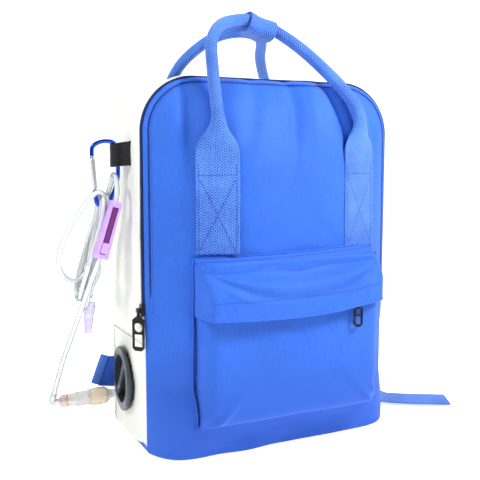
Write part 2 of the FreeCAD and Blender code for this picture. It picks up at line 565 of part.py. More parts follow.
def make_gas_path():
    z0, z1 = 106.0, 284.0
    columns = []
    for x in (-76, -23):
        can = rod(V(x, 22, z0), Z, 23, z1 - z0)
        columns.append(join(can.makeChamfer(2, can.Edges[:1]), rod(V(x, 22, z1), Z, 8, 6)))
    shapes["sieve_columns"] = group(*columns)
    tank = rod(V(20, 24, z0), Z, 16, 140)
    shapes["product_tank"] = join(tank.makeFillet(5, tank.Edges[:1]), rod(V(20, 24, 246), Z, 5, 8))
    block = box(-100, 38, 0, 46, 92, z0)
    coils = [rod(V(x, 0, 99), -Y, 6.5, 18) for x in (-88, -64, -40, -16)]
    shapes["valve_manifold"] = join(block, *coils)
    pack = box(42, 102, -20, 57, 94, 292)
    shapes["battery_pack"] = pack.makeFillet(5, [e for e in pack.Edges if e.Length > 150])
    board = [box(-98, 36, -22, -20.4, 112, 282), box(-80, -62, -20.4, -17, 150, 168),
             box(-30, -6, -20.4, -12, 226, 256), box(6, 24, -20.4, -14, 130, 170)]
    shapes["control_board"] = join(*board)
    hose = [(20, 56, 106), (20, 56, 84), (0, 57, 62), (-40, 57, 48), (-76, 56, 33), (-100, 56, 24),
            (-124, 57, 24), (-134, 63, 31), (-143.9, 67, 37)]
    shapes["outlet_hose"] = round_bar(hose, 3.0)[0]


# ---------------------------------------------------------------- build
make_bag()
make_zips()
make_pocket()
make_handles()
make_straps()
make_hanger()
make_clamp()
make_outlet()
make_tube()
make_vent()
make_case()
make_compressor()
make_gas_path()

os.makedirs("parts", exist_ok=True)
for name, shape in shapes.items():
    shape.exportStep("parts/%s.step" % name)
print(len(shapes), "nodes")
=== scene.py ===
"""Looks for the backpack oxygen concentrator, in metres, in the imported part's own frame."""

import json
import math

import bpy
import numpy as np
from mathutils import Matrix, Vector


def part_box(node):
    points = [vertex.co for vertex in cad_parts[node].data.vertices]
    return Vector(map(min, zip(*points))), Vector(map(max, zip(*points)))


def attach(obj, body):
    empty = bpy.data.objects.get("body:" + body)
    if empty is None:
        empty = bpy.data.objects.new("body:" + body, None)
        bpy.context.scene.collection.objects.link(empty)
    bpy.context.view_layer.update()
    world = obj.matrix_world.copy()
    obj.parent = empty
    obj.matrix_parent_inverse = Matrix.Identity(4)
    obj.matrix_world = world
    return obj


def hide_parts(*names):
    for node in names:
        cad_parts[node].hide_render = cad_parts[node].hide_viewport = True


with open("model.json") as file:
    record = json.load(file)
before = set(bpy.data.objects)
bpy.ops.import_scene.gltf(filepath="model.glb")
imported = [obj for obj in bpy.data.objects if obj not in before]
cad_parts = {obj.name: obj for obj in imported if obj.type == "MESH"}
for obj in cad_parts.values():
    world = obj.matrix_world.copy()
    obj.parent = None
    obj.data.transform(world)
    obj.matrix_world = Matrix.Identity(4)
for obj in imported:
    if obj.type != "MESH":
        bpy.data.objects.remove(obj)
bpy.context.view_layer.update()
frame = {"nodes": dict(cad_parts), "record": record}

MM = 0.001
PI = math.pi

# ---- the bag, from the frame ----
BACK_LOW, BACK_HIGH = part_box("back_panel")
HALF, HEIGHT, REAR = BACK_HIGH.x, BACK_HIGH.z, BACK_HIGH.y
BACK_SEAM = BACK_LOW.y
FACE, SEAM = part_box("front_panel")[0].y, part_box("front_panel")[1].y
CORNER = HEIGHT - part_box("top_gusset")[0].z     # radius of the top corners
FOOT = 6 * MM                                   # radius of the bottom corners
BULGE, FLOOR_BULGE = SEAM - FACE, 0.65 * (SEAM - FACE)
BULGE_POWER, FLOOR_POWER = 2.8, 12.0            # how square the bulge is, seen from above
CROWN = 115 * MM                                # how far down from the top the bulge is still growing
TUCK = 3 * MM                                   # radius of the front panel's turn under the base
ZIP_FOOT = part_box("main_zip_chain")[0].z
TAPE_END = SEAM + 4.0 * MM                      # where the zip's tape meets the white cloth
GUSSET_SEAM = 122 * MM                          # height of the seam across each side
BAND = 4 * MM                                   # the binding inside the front panel's edge
PUFF = 5.5 * MM                                 # how far the upper side cloth stands out over its seam
VENT_HOLE = 31 * MM                             # radius of the hole in the side cloth, under the vent's ring
SIDES = ((-1, "left"), (1, "right"))

# ---- webbing ----
WEB_WIDE = 45 * MM
WEB_THICK = 1.5 * MM
WEB_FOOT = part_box("front_webbing")[0].z
WEB_ROOT = 86 * MM                              # each strip's distance from the middle
WEB_LEAN = math.radians(21)                     # the strips turn with the bulge
HANDLE_R = 6.4 * MM
ROLL_HEIGHT = 314 * MM                          # where the front strips start to roll into a handle
BOX_HEIGHT = 294 * MM                           # top of the stitched cross on the front strips
BAR_HEIGHT = 298 * MM                           # the row of stitches above it
STRAP_THICK = 1.6 * MM

# ---- stitches ----
STITCH_PITCH, STITCH_LONG, STITCH_THICK = 3.2 * MM, 2.2 * MM, 0.45 * MM

# ---- pocket ----
POCKET_LOW, POCKET_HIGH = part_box("front_pocket")
FLAP_LOW, FLAP_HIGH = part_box("pocket_flap")
POCKET_HALF = POCKET_HIGH.x
PULL_X = (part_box("pocket_zip_pull")[0].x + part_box("pocket_zip_pull")[1].x) / 2


# ---- numbers ----
def smooth(t):
    """0 below 0, 1 above 1, with an even ease between."""
    t = np.clip(t, 0, 1)
    return t * t * (3 - 2 * t)


def hump(x, centre, width):
    return np.exp(-((x - centre) / width) ** 2)


def soft_noise(a, b, size, seed):
    """Smooth random heights from -1 to 1 over a plane, with bumps of about the given size."""
    table = np.random.RandomState(seed).uniform(-1, 1, (64, 64))
    a, b = np.asarray(a) / size + 20, np.asarray(b) / size + 20
    i, j = np.floor(a).astype(int), np.floor(b).astype(int)
    s, t = smooth(a - i), smooth(b - j)

    def at(di, dj):
        return table[(i + di) % 64, (j + dj) % 64]
    return (at(0, 0) * (1 - s) + at(1, 0) * s) * (1 - t) + (at(0, 1) * (1 - s) + at(1, 1) * s) * t


def squarer(wave, power):
    """A sine or cosine that is pushed out towards a square's corners."""
    return np.sign(wave) * np.abs(wave) ** power


def run_along(line):
    """The length of a line from its start to each of its points."""
    return np.concatenate([[0], np.cumsum(np.linalg.norm(np.diff(line, axis=0), axis=1))])


def sampled(at, run, rows):
    return np.stack([np.interp(at, run, rows[:, k]) for k in range(3)], 1)


def curve_through(points, count):
    """Evenly spaced points on a smooth line through the given ones."""
    p = np.array(points, float)
    p = np.vstack([2 * p[0] - p[1], p, 2 * p[-1] - p[-2]])
    fine = []
    for a, b, c, d in zip(p, p[1:], p[2:], p[3:]):
        t = np.linspace(0, 1, 24, endpoint=False)[:, None]
        fine.append(0.5 * (2 * b + (c - a) * t + (2 * a - 5 * b + 4 * c - d) * t ** 2
                           + (3 * b - a - 3 * c + d) * t ** 3))
    fine = np.vstack(fine + [p[-2:-1]])
    run = run_along(fine)
    return sampled(np.linspace(0, run[-1], count), run, fine)


def unit(v):
    return v / np.maximum(np.linalg.norm(v, axis=-1, keepdims=True), 1e-12)


def frames_along(line, first, last):
    """Tangents and outward normals along a line, turning steadily from the first normal to the last."""
    tangents = unit(np.gradient(line, axis=0))
    normal = np.array(first, float)
    carried = []
    for t in tangents:
        normal = unit(normal - t * (normal @ t))
        carried.append(normal)
    carried = np.array(carried)
    t, n = tangents[-1], carried[-1]
    goal = unit(np.array(last, float) - t * (np.array(last, float) @ t))
    twist = math.atan2(np.cross(n, goal) @ t, n @ goal)
    angle = smooth(np.linspace(0, 1, len(line)))[:, None] * twist
    return tangents, carried * np.cos(angle) + np.cross(tangents, carried) * np.sin(angle)


# ---- mesh helpers ----
def placed(name, data):
    thing = bpy.data.objects.new(name, data)
    bpy.context.scene.collection.objects.link(thing)
    return thing


def mesh_object(name, vertices, faces, paint):
    mesh = bpy.data.meshes.new(name)
    mesh.from_pydata(np.asarray(vertices).tolist(), [], faces)
    mesh.materials.append(paint)
    mesh.polygons.foreach_set("use_smooth", [True] * len(mesh.polygons))
    return placed(name, mesh)


def cloth(name, points, paint, thick, closed=False, flip=False, keep=None, caps=False):
    """Rows of points as a smooth sheet with a thickness, and its real size in metres in its UV map.

    closed joins each row into a ring, caps closes the first and last ring, and keep(centre) says which
    faces stay.
    """
    rows, cols = points.shape[:2]
    wide = cols if closed else cols - 1
    corners = [((r, c), (r, c + 1), (r + 1, c + 1), (r + 1, c))
               for r in range(rows - 1) for c in range(wide)]
    if flip:
        corners = [quad[::-1] for quad in corners]
    flat = points.reshape(-1, 3)
    faces = [[r * cols + c % cols for r, c in quad] for quad in corners]
    if keep is not None:
        stay = [keep(flat[face].mean(0)) for face in faces]
        corners = [quad for quad, s in zip(corners, stay) if s]
        faces = [face for face, s in zip(faces, stay) if s]
    ends = [list(range(cols)), list(range((rows - 1) * cols, rows * cols))[::-1]] if caps else []
    piece = mesh_object(name, flat, faces + [end[::-1] if flip else end for end in ends], paint)
    ring = np.concatenate([points, points[:, :1]], 1) if closed else points
    middle = ring.shape[1] // 2
    across = np.cumsum(np.linalg.norm(np.diff(ring, axis=1, prepend=ring[:, :1]), axis=2), 1)
    across -= across[:, middle:middle + 1]
    along = np.cumsum(np.linalg.norm(np.diff(points[:, middle], axis=0, prepend=points[:1, middle]), axis=1))
    layer = piece.data.uv_layers.new(name="cloth")
    spots = [x for quad in corners for r, c in quad for x in (across[r, c], along[r])]
    layer.data.foreach_set("uv", spots + [0.0] * (2 * cols * len(ends)))
    if thick:
        solid = piece.modifiers.new("thickness", "SOLIDIFY")
        solid.thickness, solid.offset = thick, -1
    return piece


def tube(name, line, radius, paint, sides=10):
    """A round bar along a line of points. The radius may change along it."""
    line = np.asarray(line, float)
    tangents = unit(np.gradient(line, axis=0))
    spare = np.where(np.abs(tangents[:, 2:]) < 0.9, [[0, 0, 1.0]], [[1.0, 0, 0]])
    side = unit(np.cross(tangents, spare))
    up = np.cross(side, tangents)
    a = np.linspace(0, 2 * PI, sides, endpoint=False)
    radius = np.broadcast_to(radius, len(line))[:, None, None]
    ring = side[:, None] * np.cos(a)[:, None] + up[:, None] * np.sin(a)[:, None]
    return cloth(name, line[:, None] + ring * radius, paint, 0, closed=True, caps=True)


def stitches(name, line, up, paint):
    """Lockstitches along a line: a low spindle for each, half sunk in the cloth. up is the way out of it."""
    line = np.asarray(line, float)
    run = run_along(line)
    at = np.arange(STITCH_PITCH / 2, run[-1], STITCH_PITCH)
    centre = sampled(at, run, line)
    along = unit(sampled(at, run, np.gradient(line, axis=0)))
    up = unit(sampled(at, run, np.broadcast_to(np.asarray(up, float), line.shape)))
    side = np.cross(along, up)
    shape = [(-0.5, 0, -0.4), (-0.3, 1, 0.2), (-0.3, -1, 0.2), (-0.3, 0, 1), (0.3, 1, 0.2), (0.3, -1, 0.2),
             (0.3, 0, 1), (0.5, 0, -0.4)]
    faces = [(0, 3, 1), (0, 2, 3), (1, 3, 6, 4), (3, 2, 5, 6), (7, 4, 6), (7, 6, 5)]
    vertices = np.concatenate([centre + along * (x * STITCH_LONG) + side * (y * STITCH_THICK)
                               + up * (z * STITCH_THICK) for x, y, z in shape])
    count = len(centre)
    every = [[corner * count + k for corner in face] for k in range(count) for face in faces]
    return mesh_object(name, vertices, every, paint)


# ---- the bag's outline ----
SIDE, BEND, TOP = HEIGHT - CORNER, PI / 2 * CORNER, 2 * (HALF - CORNER)
ARCH = 2 * (SIDE + BEND) + TOP


def arch(s, out=0.0):
    """x, z and outward normal on the outline, s from the floor on the left, over the top, to the right."""
    s = np.asarray(s, float)
    a = np.clip((s - SIDE) / CORNER, 0, PI / 2)
    b = np.clip((s - SIDE - BEND - TOP) / CORNER, 0, PI / 2)
    nx, nz = -np.cos(a + b), np.sin(a + b)
    x = -HALF + CORNER * (1 - np.cos(a)) + np.clip(s - SIDE - BEND, 0, TOP) + CORNER * np.sin(b)
    z = np.clip(s, 0, SIDE) + CORNER * np.sin(a) - CORNER * (1 - np.cos(b))
    z = z - np.clip(s - SIDE - 2 * BEND - TOP, 0, SIDE)
    return x + nx * out, z + nz * out, nx, nz


def half_width(z):
    top = np.clip(z - (HEIGHT - CORNER), 0, CORNER)
    foot = np.clip(FOOT - z, 0, FOOT)
    return HALF - (CORNER - np.sqrt(CORNER ** 2 - top ** 2)) - (FOOT - np.sqrt(FOOT ** 2 - foot ** 2))


def front_y(x, z):
    """The front panel's face: a pillow that is fuller in the middle than at the foot."""
    u = np.clip(np.abs(x) / half_width(z), 0, 1)
    rise = smooth(z / (80 * MM))
    full = FLOOR_BULGE + (BULGE - FLOOR_BULGE) * rise
    power = FLOOR_POWER + (BULGE_POWER - FLOOR_POWER) * rise
    crown = np.sqrt(np.clip(1 - (1 - np.clip((HEIGHT - z) / CROWN, 0, 1)) ** 2.1, 0, 1))
    under = TUCK - np.sqrt(np.clip(TUCK ** 2 - np.clip(TUCK - z, 0, TUCK) ** 2, 0, None))
    return SEAM - full * (1 - u ** power) * crown + under * (1 - u ** 8)


def front_folds(x, z):
    """How far the front cloth stands out of its plain shape: pulls below the handles and a slack foot."""
    u = np.abs(x) / half_width(z)
    near_top = smooth((z - 270 * MM) / (110 * MM))
    folds = -9.5 * MM * hump(x, -108 * MM, 9 * MM) * near_top * smooth((z - 255 * MM) / (90 * MM))
    folds += 4.5 * MM * hump(x, -128 * MM, 10 * MM) * near_top
    folds -= 6.5 * MM * hump(x - 0.16 * (z - HEIGHT), 14 * MM, 7 * MM) * near_top
    folds += 3.2 * MM * hump(x - 0.10 * (z - HEIGHT), 36 * MM, 9 * MM) * near_top
    folds -= 7.0 * MM * hump(x + 0.2 * (z - HEIGHT), 58 * MM, 7 * MM) * near_top
    folds -= 3.6 * MM * hump(x, 118 * MM, 8 * MM) * near_top
    folds -= 4.0 * MM * hump(x - 0.35 * (z - HEIGHT), -30 * MM, 9 * MM) * near_top
    foot = smooth((70 * MM - z) / (60 * MM))
    folds += foot * 2.4 * MM * soft_noise(x + 0.4 * z, z * 2.0, 42 * MM, 5)
    folds += 3.4 * MM * soft_noise(x, z * 0.6, 60 * MM, 3) + 1.1 * MM * soft_noise(x + 0.5 * z, z, 26 * MM, 4)
    slack = hump(x + 118 * MM + 0.25 * (z - 150 * MM), 0, 10 * MM) * hump(z, 170 * MM, 90 * MM)
    folds += 1.8 * MM * slack
    return folds * (1 - np.clip(u, 0, 1) ** 6)


def on_front(x, z, lift=0.0):
    """Points on the front cloth, and the way out of it."""
    x, z = np.broadcast_arrays(np.asarray(x, float), np.asarray(z, float))

    def y(a, b):
        return front_y(a, b) - front_folds(a, b)
    e = 1 * MM
    normal = unit(np.stack([(y(x + e, z) - y(x - e, z)) / (2 * e), -np.ones_like(x),
                            (y(x, z + e) - y(x, z - e)) / (2 * e)], -1))
    return np.stack([x, y(x, z), z], -1) + normal * lift, normal


def face_grid(cols, rows):
    """z, and x as a share of the half width, for a grid that is closer together at its edges."""
    u = np.sin(np.linspace(-1, 1, cols) * PI / 2)
    z = HEIGHT * (1 - np.cos(np.linspace(0, PI, rows))) / 2
    return np.meshgrid(z, u, indexing="ij")


# ---- materials ----
paints = {}


class Nodes:
    """A material, kept in paints under its name, and short ways to add and join its nodes."""

    def __init__(self, name, **sockets):
        paints[name] = self.paint = bpy.data.materials.new(name)
        self.paint.use_nodes = True
        self.tree = self.paint.node_tree
        self.shader = self.tree.nodes["Principled BSDF"]
        for socket, value in sockets.items():
            self.shader.inputs[socket.replace("_", " ")].default_value = value

    def add(self, kind, inputs=(), **settings):
        node = self.tree.nodes.new("ShaderNode" + kind)
        for key, value in settings.items():
            setattr(node, key, value)
        for key, value in dict(inputs).items():
            if isinstance(value, bpy.types.NodeSocket):
                self.tree.links.new(value, node.inputs[key])
            else:
                node.inputs[key].default_value = value
        return node

    def math(self, operation, a, b=0.0):
        return self.add("Math", {0: a, 1: b}, operation=operation).outputs[0]

    def blend(self, factor, a, b):
        return self.add("Mix", {"Factor": factor, 6: a, 7: b}, data_type="RGBA").outputs[2]

    def noise(self, scale, detail, rough=0.55, where=None):
        inputs = {"Scale": scale, "Detail": detail, "Roughness": rough,
                  "Vector": where or self.add("TexCoord").outputs["Object"]}
        return self.add("TexNoise", inputs).outputs["Fac"]

    def ramp(self, value, low, high, to_low=0.0, to_high=1.0):
        return self.add("MapRange", {"Value": value, "From Min": low, "From Max": high, "To Min": to_low,
                                     "To Max": to_high}, interpolation_type="SMOOTHSTEP").outputs[0]

    def bump(self, height, distance, strength):
        return self.add("Bump", {"Height": height, "Distance": distance, "Strength": strength}
                        ).outputs["Normal"]

    def use(self, **links):
        for socket, value in links.items():
            self.tree.links.new(value, self.shader.inputs[socket.replace("_", " ")])
        return self.paint


def rgb(r, g, b):
    return (r, g, b, 1.0)


def woven(name, colour, dark, pitch=0.9 * MM, sheen=0.18, foot_shade=0.0):
    """Plain-woven cloth: crossing threads, uneven dye, a faint slub and a sheen, with painted shade darkening
    it towards the floor.
    """
    n = Nodes(name, Roughness=0.68, Sheen_Weight=sheen, Sheen_Roughness=0.4, Specular_IOR_Level=0.32)
    n.shader.inputs["Sheen Tint"].default_value = rgb(*[0.4 + 0.6 * c for c in colour])
    uv = n.add("UVMap", uv_map="cloth").outputs[0]
    part = n.add("SeparateXYZ", {0: uv})
    turns = 2 * PI / (2 * pitch)
    across = n.math("SINE", n.math("MULTIPLY", part.outputs[0], turns))
    along = n.math("SINE", n.math("MULTIPLY", part.outputs[1], turns))
    weave = n.math("MULTIPLY", across, along)
    slub = n.noise(900, 2, where=n.add("Mapping", {"Vector": uv, "Scale": (1.0, 0.12, 1.0)}).outputs[0])
    cloud = n.noise(9, 4)
    height = n.math("ADD", n.math("MULTIPLY", weave, 0.5), slub)
    shade = n.math("ADD", n.math("MULTIPLY", cloud, 0.35), n.math("MULTIPLY", slub, 0.35))
    # painted shade: the colour also follows the weave's relief, lighter on raised threads and darker in the
    # dips
    shade = n.math("ADD", shade, n.math("MULTIPLY", weave, 0.10))
    rise = n.add("SeparateXYZ", {0: n.add("TexCoord").outputs["Object"]}).outputs[2]
    # painted shade: the colour darkens by foot_shade from 130 mm above the floor down to it
    shade = n.math("SUBTRACT", shade, n.ramp(rise, 5 * MM, 130 * MM, foot_shade, 0.0))
    colour = n.blend(n.ramp(shade, 0.15, 0.6), rgb(*dark), rgb(*colour))
    return n.use(Base_Color=colour, Normal=n.bump(height, 0.12 * MM, 0.5))


def webbing_paint(name, colour, dark, rib=2.8 * MM, slope=0.9):
    """Heavy webbing: rows of ribs across it, which zigzag where they have a slope."""
    n = Nodes(name, Roughness=0.66, Sheen_Weight=0.15, Sheen_Roughness=0.4, Specular_IOR_Level=0.35)
    uv = n.add("UVMap", uv_map="cloth").outputs[0]
    part = n.add("SeparateXYZ", {0: uv})
    chevron = 3.6 * MM
    zigzag = n.math("PINGPONG", n.math("ADD", part.outputs[0], 1.0), chevron)
    phase = n.math("ADD", part.outputs[1], n.math("MULTIPLY", zigzag, slope))
    rows = n.math("SINE", n.math("MULTIPLY", phase, 2 * PI / rib))
    cords = n.math("SINE", n.math("MULTIPLY", part.outputs[0], 2 * PI / (0.5 * chevron)))
    fibre = n.noise(1400, 2)
    cloud = n.noise(25, 3)
    height = n.math("ADD", n.math("MULTIPLY", rows, 0.6), n.math("MULTIPLY", cords, 0.35))
    height = n.math("ADD", height, n.math("MULTIPLY", fibre, 0.4))
    # painted shade in the grooves between ribs and cords, mixed with the webbing's random tone from cloud
    groove_shade_and_tone = n.math("ADD", n.math("MULTIPLY", height, 0.3), n.math("MULTIPLY", cloud, 0.5))
    colour = n.blend(n.ramp(groove_shade_and_tone, 0.0, 0.5), rgb(*dark), rgb(*colour))
    return n.use(Base_Color=colour, Normal=n.bump(height, 0.45 * MM, 0.9))


def plastic(name, colour, rough=0.35, grain=0.02, spread=0.08, coat=0.0, **sockets):
    """Moulded plastic: slight tone changes, fine grain and handling marks in the gloss."""
    n = Nodes(name, Coat_Weight=coat, **sockets)
    cloud, fine = n.noise(30, 4), n.noise(1500, 2)
    dark = [c * (1 - spread) for c in colour]
    colour = n.blend(cloud, rgb(*dark), rgb(*colour))
    rough = n.ramp(n.noise(120, 5, 0.7), 0.3, 0.75, rough * 0.8, min(1.0, rough * 1.25))
    return n.use(Base_Color=colour, Roughness=rough, Normal=n.bump(fine, 0.1 * MM, grain * 5))


def metal(name, colour, rough, brushed, wear=None, **sockets):
    """Metal: fine scratches, and where wear is given, that colour shows on rubbed spots."""
    n = Nodes(name, Metallic=1.0, **sockets)
    where = n.add("TexCoord").outputs["Object"]
    lines = n.noise(260, 4, 0.6, n.add("Mapping", {"Vector": where, "Scale": (1.0, 1.0, 0.06)}).outputs[0])
    patch = n.noise(70, 5, 0.65)
    other = wear or [c * 0.82 for c in colour]
    colour = n.blend(n.ramp(patch, 0.52, 0.72), rgb(*colour), rgb(*other))
    rough = n.ramp(lines, 0.3, 0.7, rough * 0.75, rough * 1.3)
    return n.use(Base_Color=colour, Roughness=rough, Normal=n.bump(lines, 0.05 * MM, brushed))


def clear(name, colour, edge, see_through, rough, ior):
    """Clear or tinted plastic: paler straight on and painted deeper at its edges, a painted shade for light
    passing through the wall there, with faint haze.
    """
    n = Nodes(name, Transmission_Weight=see_through, IOR=ior)
    facing = n.add("LayerWeight", {"Blend": 0.45}).outputs["Facing"]
    haze = n.noise(60, 4)
    # painted shade: the colour turns to edge where the surface turns away from the view
    colour = n.blend(n.ramp(facing, 0.2, 0.6), rgb(*colour), rgb(*edge))
    return n.use(Base_Color=colour, Roughness=n.ramp(haze, 0.3, 0.7, rough * 0.6, rough * 1.5),
                 Normal=n.bump(haze, 0.1 * MM, 0.1))


BLUE, BLUE_DARK = (0.030, 0.160, 0.73), (0.018, 0.098, 0.51)
# foot_shade paints shade on the lower part of the blue and the white cloth
woven("blue_fabric", BLUE, BLUE_DARK, foot_shade=0.5)
woven("white_fabric", (0.87, 0.88, 0.835), (0.70, 0.71, 0.655), sheen=0.05, foot_shade=0.45)
woven("navy_zip", (0.010, 0.026, 0.15), (0.004, 0.010, 0.06), 0.6 * MM, sheen=0.05)
webbing_paint("blue_webbing", (0.095, 0.280, 0.90), (0.008, 0.045, 0.33))
webbing_paint("black_webbing", (0.012, 0.012, 0.014), (0.001, 0.001, 0.001), 2.9 * MM, 0.0)
metal("dark_metal", (0.022, 0.021, 0.020), 0.34, 0.2, (0.15, 0.14, 0.13))
metal("steel", (0.72, 0.73, 0.76), 0.16, 0.15)
metal("blue_anodised", (0.010, 0.085, 0.72), 0.2, 0.1, (0.02, 0.16, 0.85), Coat_Weight=0.4)
metal("aluminium", (0.70, 0.71, 0.73), 0.35, 0.4)
plastic("dark_plastic", (0.040, 0.052, 0.064), 0.42, 0.04, 0.25, 0.1)
plastic("white_plastic", (0.84, 0.86, 0.91), 0.25, coat=0.3)
plastic("case_plastic", (0.74, 0.76, 0.78), 0.5, 0.12)
plastic("button_plastic", (0.10, 0.12, 0.14), 0.4)
plastic("battery_plastic", (0.028, 0.030, 0.034), 0.55, 0.15)
plastic("circuit_board", (0.010, 0.13, 0.055), 0.3, 0.05, 0.3)
plastic("rubber", (0.018, 0.018, 0.019), 0.8, 0.2)
plastic("lavender_plastic", (0.60, 0.36, 0.98), 0.3, 0.02, 0.05, 0.2, Subsurface_Weight=0.2)
plastic("window_plastic", (0.16, 0.012, 0.17), 0.35)
# the second colour of each clear plastic is its painted edge shade
clear("clear_pvc", (0.88, 0.91, 0.92), (0.27, 0.32, 0.37), 0.20, 0.12, 1.35)
clear("clear_plastic", (0.86, 0.85, 0.83), (0.50, 0.46, 0.43), 0.3, 0.10, 1.40)
clear("amber_plastic", (0.90, 0.79, 0.62), (0.60, 0.42, 0.25), 0.25, 0.20, 1.4)
clear("pink_plastic", (0.93, 0.70, 0.60), (0.62, 0.27, 0.20), 0.25, 0.2, 1.4)
clear("lavender_clear", (0.74, 0.69, 0.93), (0.44, 0.37, 0.68), 0.15, 0.25, 1.4)
thread = woven("blue_thread", (0.020, 0.075, 0.45), (0.012, 0.045, 0.30), 0.4 * MM)
white_thread = woven("white_thread", (0.80, 0.80, 0.76), (0.66, 0.66, 0.62), 0.4 * MM)
# seam_shadow_navy is painted shadow: the dark cord laid in the binding's seam groove
seam_shadow_navy = woven("seam_shadow_navy", (0.008, 0.030, 0.24), (0.005, 0.016, 0.13), 0.4 * MM)
drab_thread = woven("drab_thread", (0.30, 0.27, 0.20), (0.16, 0.14, 0.10), 0.4 * MM)

for entry in frame["record"]["subparts"]:
    node = frame["nodes"][entry["node"]]
    node.data.materials.clear()
    node.data.materials.append(paints[entry["material_slot"]])


def stand_for(piece, slot, *nodes, body="root"):
    """The piece rides on a body and hides the CAD nodes it stands for. slot is not used."""
    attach(piece, body)
    if nodes:
        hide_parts(*nodes)
    return piece


def rounded(node, size):
    """Broken edges on a CAD node."""
    bevel = frame["nodes"][node].modifiers.new("edges", "BEVEL")
    bevel.width, bevel.segments, bevel.limit_method = size, 3, "ANGLE"
    bevel.angle_limit = math.radians(35)
    bevel.harden_normals = False


# ---- camera ----
EYE = Vector((-399.3, -779.1, 317.9)) * MM
AZIMUTH, DOWN = math.radians(25.94), math.radians(6.41)
camera = placed("camera", bpy.data.cameras.new("camera"))
look = Vector((math.sin(AZIMUTH) * math.cos(DOWN), math.cos(AZIMUTH) * math.cos(DOWN), -math.sin(DOWN)))
camera.location = EYE
camera.rotation_euler = look.to_track_quat("-Z", "Y").to_euler()
camera.data.sensor_width = 36.0
camera.data.lens = 56.5
camera.data.clip_start = 0.01
bpy.context.scene.camera = camera


# ---- the oxygen tube ----
TUBE = 5.5 * MM
# the line in mm: up from the outlet through the clamp, over the bar, and after the hank to the connector
FEED = [(-226, 60, 48), (-222.5, 39, 84), (-216.5, 14, 120), (-209.5, -6, 155), (-201, -15, 186),
        (-191, -18, 211.5), (-172.5, -18, 270), (-170.5, -17, 286), (-170.5, -10, 297), (-171, -2, 298),
        (-171.5, 3, 288), (-176, 6, 273)]
LOOSE_LOOP = [(-179, -3, 275), (-187, -6, 281), (-194, -4, 276), (-203, 0, 264), (-214, 5, 247),
              (-223, 8, 229), (-229, 8, 210), (-226, 8, 193), (-214, 8, 184), (-204, 8, 188)]
LAST = [(-197.5, 8, 196.5), (-192.5, 8.5, 204.5), (-186.5, 8, 204), (-185, 7, 195), (-190, 6, 185),
        (-195.3, 5, 176.5), (-197, 5, 165)]
BAR = (2.0, 265.0)      # the carabiner's lower bar, that the hank hangs over: y and z
# for each turn of the hank: x at its top and foot, the height of its foot, its half depth
TURNS = [(-178, -197, 170, 6.5), (-183.5, -203, 157, 7.5), (-178, -205, 178, 12), (-182, -209.5, 166, 12)]


def hank_points():
    """Each turn goes down behind the bar, round its foot, up in front and over the bar again."""
    points = []
    for k, (x0, x1, foot, deep) in enumerate(TURNS):
        x2 = TURNS[min(k + 1, len(TURNS) - 1)][0]
        y, top = BAR

        def at(share, side, start):
            return (start + (x1 - start) * share, y + side * deep * (1 + 0.25 * math.sin(PI * share)),
                    top + (foot + deep - top) * share)
        points += [at(s, 1, x0) for s in (0.12, 0.4, 0.7, 0.95)]
        points += [(x1, y + deep * math.cos(a), foot + deep - deep * math.sin(a)) for a in (0.8, 1.57, 2.34)]
        points += [at(s, -1, x2) for s in (0.95, 0.7, 0.4, 0.12)]
        if k < len(TURNS) - 1:
            radius = TURNS[k + 1][3]
            points += [(x2, y - radius * math.cos(a), top + radius * math.sin(a)) for a in (0.7, 1.57, 2.44)]
    return points


def make_tube():
    route = FEED + hank_points() + LOOSE_LOOP + LAST
    data = bpy.data.curves.new("oxygen_line", "CURVE")
    data.dimensions = "3D"
    spline = data.splines.new("NURBS")
    spline.points.add(len(route) - 1)
    for point, place in zip(spline.points, route):
        point.co = (*[c * MM for c in place], 1.0)
    spline.order_u = 3
    spline.use_endpoint_u = True
    spline.resolution_u = 6
    data.bevel_depth, data.bevel_resolution, data.use_fill_caps = TUBE / 2, 4, True
    line = placed("oxygen_line", data)
    data.materials.append(paints["clear_pvc"])
    stand_for(line, "clear_pvc", "oxygen_tube", "oxygen_tube_loop", "tube_hank")


# ---- bag cloth ----
def make_front():
    zz, uu = face_grid(141, 171)
    points, _ = on_front(uu * half_width(zz), zz)
    points[0, :, 1] += 3 * MM
    front = cloth("front_cloth", points, paints["blue_fabric"], 2 * MM)
    stand_for(front, "blue_fabric", "front_panel")

    s = np.linspace(ZIP_FOOT - 2 * MM, ARCH - ZIP_FOOT + 2 * MM, 420)
    w = np.linspace(-0.05, 1, 9)
    inset = w[None, :] * BAND * np.ones((len(s), 1))
    points, out = on_front(*arch(s[:, None], -inset)[:2])
    swell = 1.3 * MM * np.sqrt(np.clip(np.sin(PI * np.clip(0.12 + 0.8 * w, 0, 1)), 0, 1))
    ripple = 0.25 * MM * soft_noise(s, s, 16 * MM, 21)[:, None]
    fade = smooth(np.minimum(s - s[0], s[-1] - s) / (25 * MM))
    raised = (swell + ripple) * fade[:, None] + 0.1 * MM
    band = cloth("edge_binding", points + out * raised[..., None], paints["blue_fabric"], 1.2 * MM)
    stand_for(band, "blue_fabric")
    # a dark navy cord sunk along the binding's inner edge: painted shadow of the seam groove
    points, out = on_front(*arch(s, -(BAND + 0.8 * MM))[:2])
    sunk = points - out * (1.35 - fade)[:, None] * MM
    stand_for(tube("binding_seam_shadow", sunk, (0.1 + 0.8 * fade) * MM, seam_shadow_navy, 6), "navy_zip")
    points, out = on_front(*arch(s, -(BAND + 2.6 * MM))[:2])
    stand_for(stitches("binding_stitches", points, out, thread), "blue_fabric")


